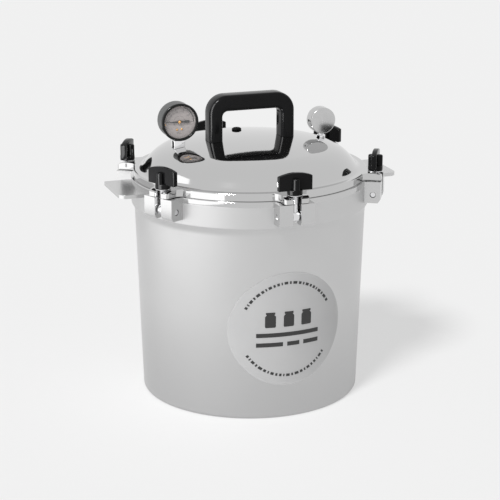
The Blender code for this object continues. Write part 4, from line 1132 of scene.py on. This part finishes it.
labelSizes = {
    "height": 130.5, "radius": 81.5, "thick": 0.4, "inkThick": 0.06, "ringRadius": 67.0, "dashTall": 3.8,
    "dashTurns": (3.0, 1.6, 4.4, 2.2, 5.0, 3.4, 1.8, 4.0, 2.6), "dashGap": 2.1,
    "arcs": ((152.0, 28.0), (-148.0, -32.0)),
    "jarWide": 15.0, "jarTall": 22.0, "jarFoot": 4.0, "jars": (-26.0, 0.0, 26.0), "barTall": 6.0,
    "bars": ((-45.0, 45.0, -4.0), (-45.0, -8.0, -18.0), (-2.0, 16.0, -18.0), (22.0, 45.0, -18.0)),
}


def wallRadius(height):
    wall, top = (value * mm for value in potSizes["wallTop"])
    return potSizes["base"] * mm + (wall - potSizes["base"] * mm) * height / top


def wrapped(outline, low, high, step=0.003):
    # a flat (across, up) outline bent onto the front of the wall, as a thin closed skin
    shape = bmesh.new()
    shape.faces.new([shape.verts.new((x, 0.0, y)) for x, y in outline])
    for axis in (0, 2):
        spanLow = min(vert.co[axis] for vert in shape.verts)
        spanHigh = max(vert.co[axis] for vert in shape.verts)
        normal = Vector((1, 0, 0)) if axis == 0 else Vector((0, 0, 1))
        count = int((spanHigh - spanLow) / step)
        for index in range(1, count + 1):
            cutAt = spanLow + (spanHigh - spanLow) * index / (count + 1)
            bmesh.ops.bisect_plane(shape, geom=shape.verts[:] + shape.edges[:] + shape.faces[:],
                                   plane_co=normal * cutAt, plane_no=normal)
    grown = bmesh.ops.extrude_face_region(shape, geom=shape.faces[:])
    outer = {element for element in grown["geom"] if isinstance(element, bmesh.types.BMVert)}
    for vert in shape.verts:
        height = labelSizes["height"] * mm + vert.co.z
        radius = wallRadius(height) + (high if vert in outer else low)
        vert.co = (vert.co.x, -math.sqrt(radius * radius - vert.co.x ** 2), height)
    bmesh.ops.recalc_face_normals(shape, faces=shape.faces)
    return shape


def jarOutline(centre, foot, wide, tall):
    # a plain canning jar: straight body, round shoulders, banded neck
    half, neck = wide / 2.0, wide * 0.36
    shoulder = foot + tall * 0.70
    right = [(half * 0.86, foot), (half, foot + tall * 0.06), (half, shoulder)]
    right += [(half - (half - neck) * share, shoulder + tall * 0.12 * share ** 0.6)
              for share in (0.35, 0.7, 1.0)]
    cap, capFoot = neck * 1.18, foot + tall * 0.86
    right += [(neck, capFoot), (cap, capFoot), (cap, foot + tall)]
    left = [(-x, y) for x, y in reversed(right)]
    return [(centre + x, y) for x, y in right + left]


def makeLabel():
    size = labelSizes
    gap = lidSizes["gap"] * mm
    thick, ink = size["thick"] * mm, size["inkThick"] * mm
    disc = arcPoints(0, 0, size["radius"] * mm, 0.0, 357.5, 143)
    film = madeObject("label", wrapped(disc, gap, gap + thick, 0.006), materials["film"])
    fitted(film, "pot", "label_film", "label")
    low, high = gap + thick, gap + thick + ink
    marks = []
    outer = (size["ringRadius"] + size["dashTall"] / 2.0) * mm
    inner = (size["ringRadius"] - size["dashTall"] / 2.0) * mm
    for start, stop in size["arcs"]:
        turn, index = start, 0
        way = -1.0 if stop < start else 1.0
        while (stop - turn) * way > 3.0:
            end = turn + way * size["dashTurns"][index % len(size["dashTurns"])]
            dash = arcPoints(0, 0, outer, turn, end, 3) + arcPoints(0, 0, inner, end, turn, 3)
            marks.append(wrapped(dash, low, high))
            turn = end + way * size["dashGap"]
            index += 1
    wide, tall, foot = size["jarWide"] * mm, size["jarTall"] * mm, size["jarFoot"] * mm
    for place in size["jars"]:
        marks.append(wrapped(jarOutline(place * mm, foot, wide, tall), low, high))
    for left, right, top in size["bars"]:
        marks.append(wrapped(rectangle(left, right, top - size["barTall"], top), low, high))
    printing = madeObject("labelPrint", together(marks), materials["ink"])
    fitted(printing, "pot", "label_film")


makeLabel()
print("label made")


keptNodes = {
    "rack": "sheet", "handle_screw_1": "steel", "handle_screw_2": "steel", "gauge_movement": "brass",
    "gauge_bourdon_tube": "brass",
}
for nodeName, finish in keptNodes.items():
    nodes[nodeName].data.materials.clear()
    nodes[nodeName].data.materials.append(materials[finish])
print("kept nodes dressed:", len(keptNodes))
makeStrip([thing for thing in scene.objects if thing.type == "MESH"
           and thing.data.materials[:] == [materials["phenolic"]]])
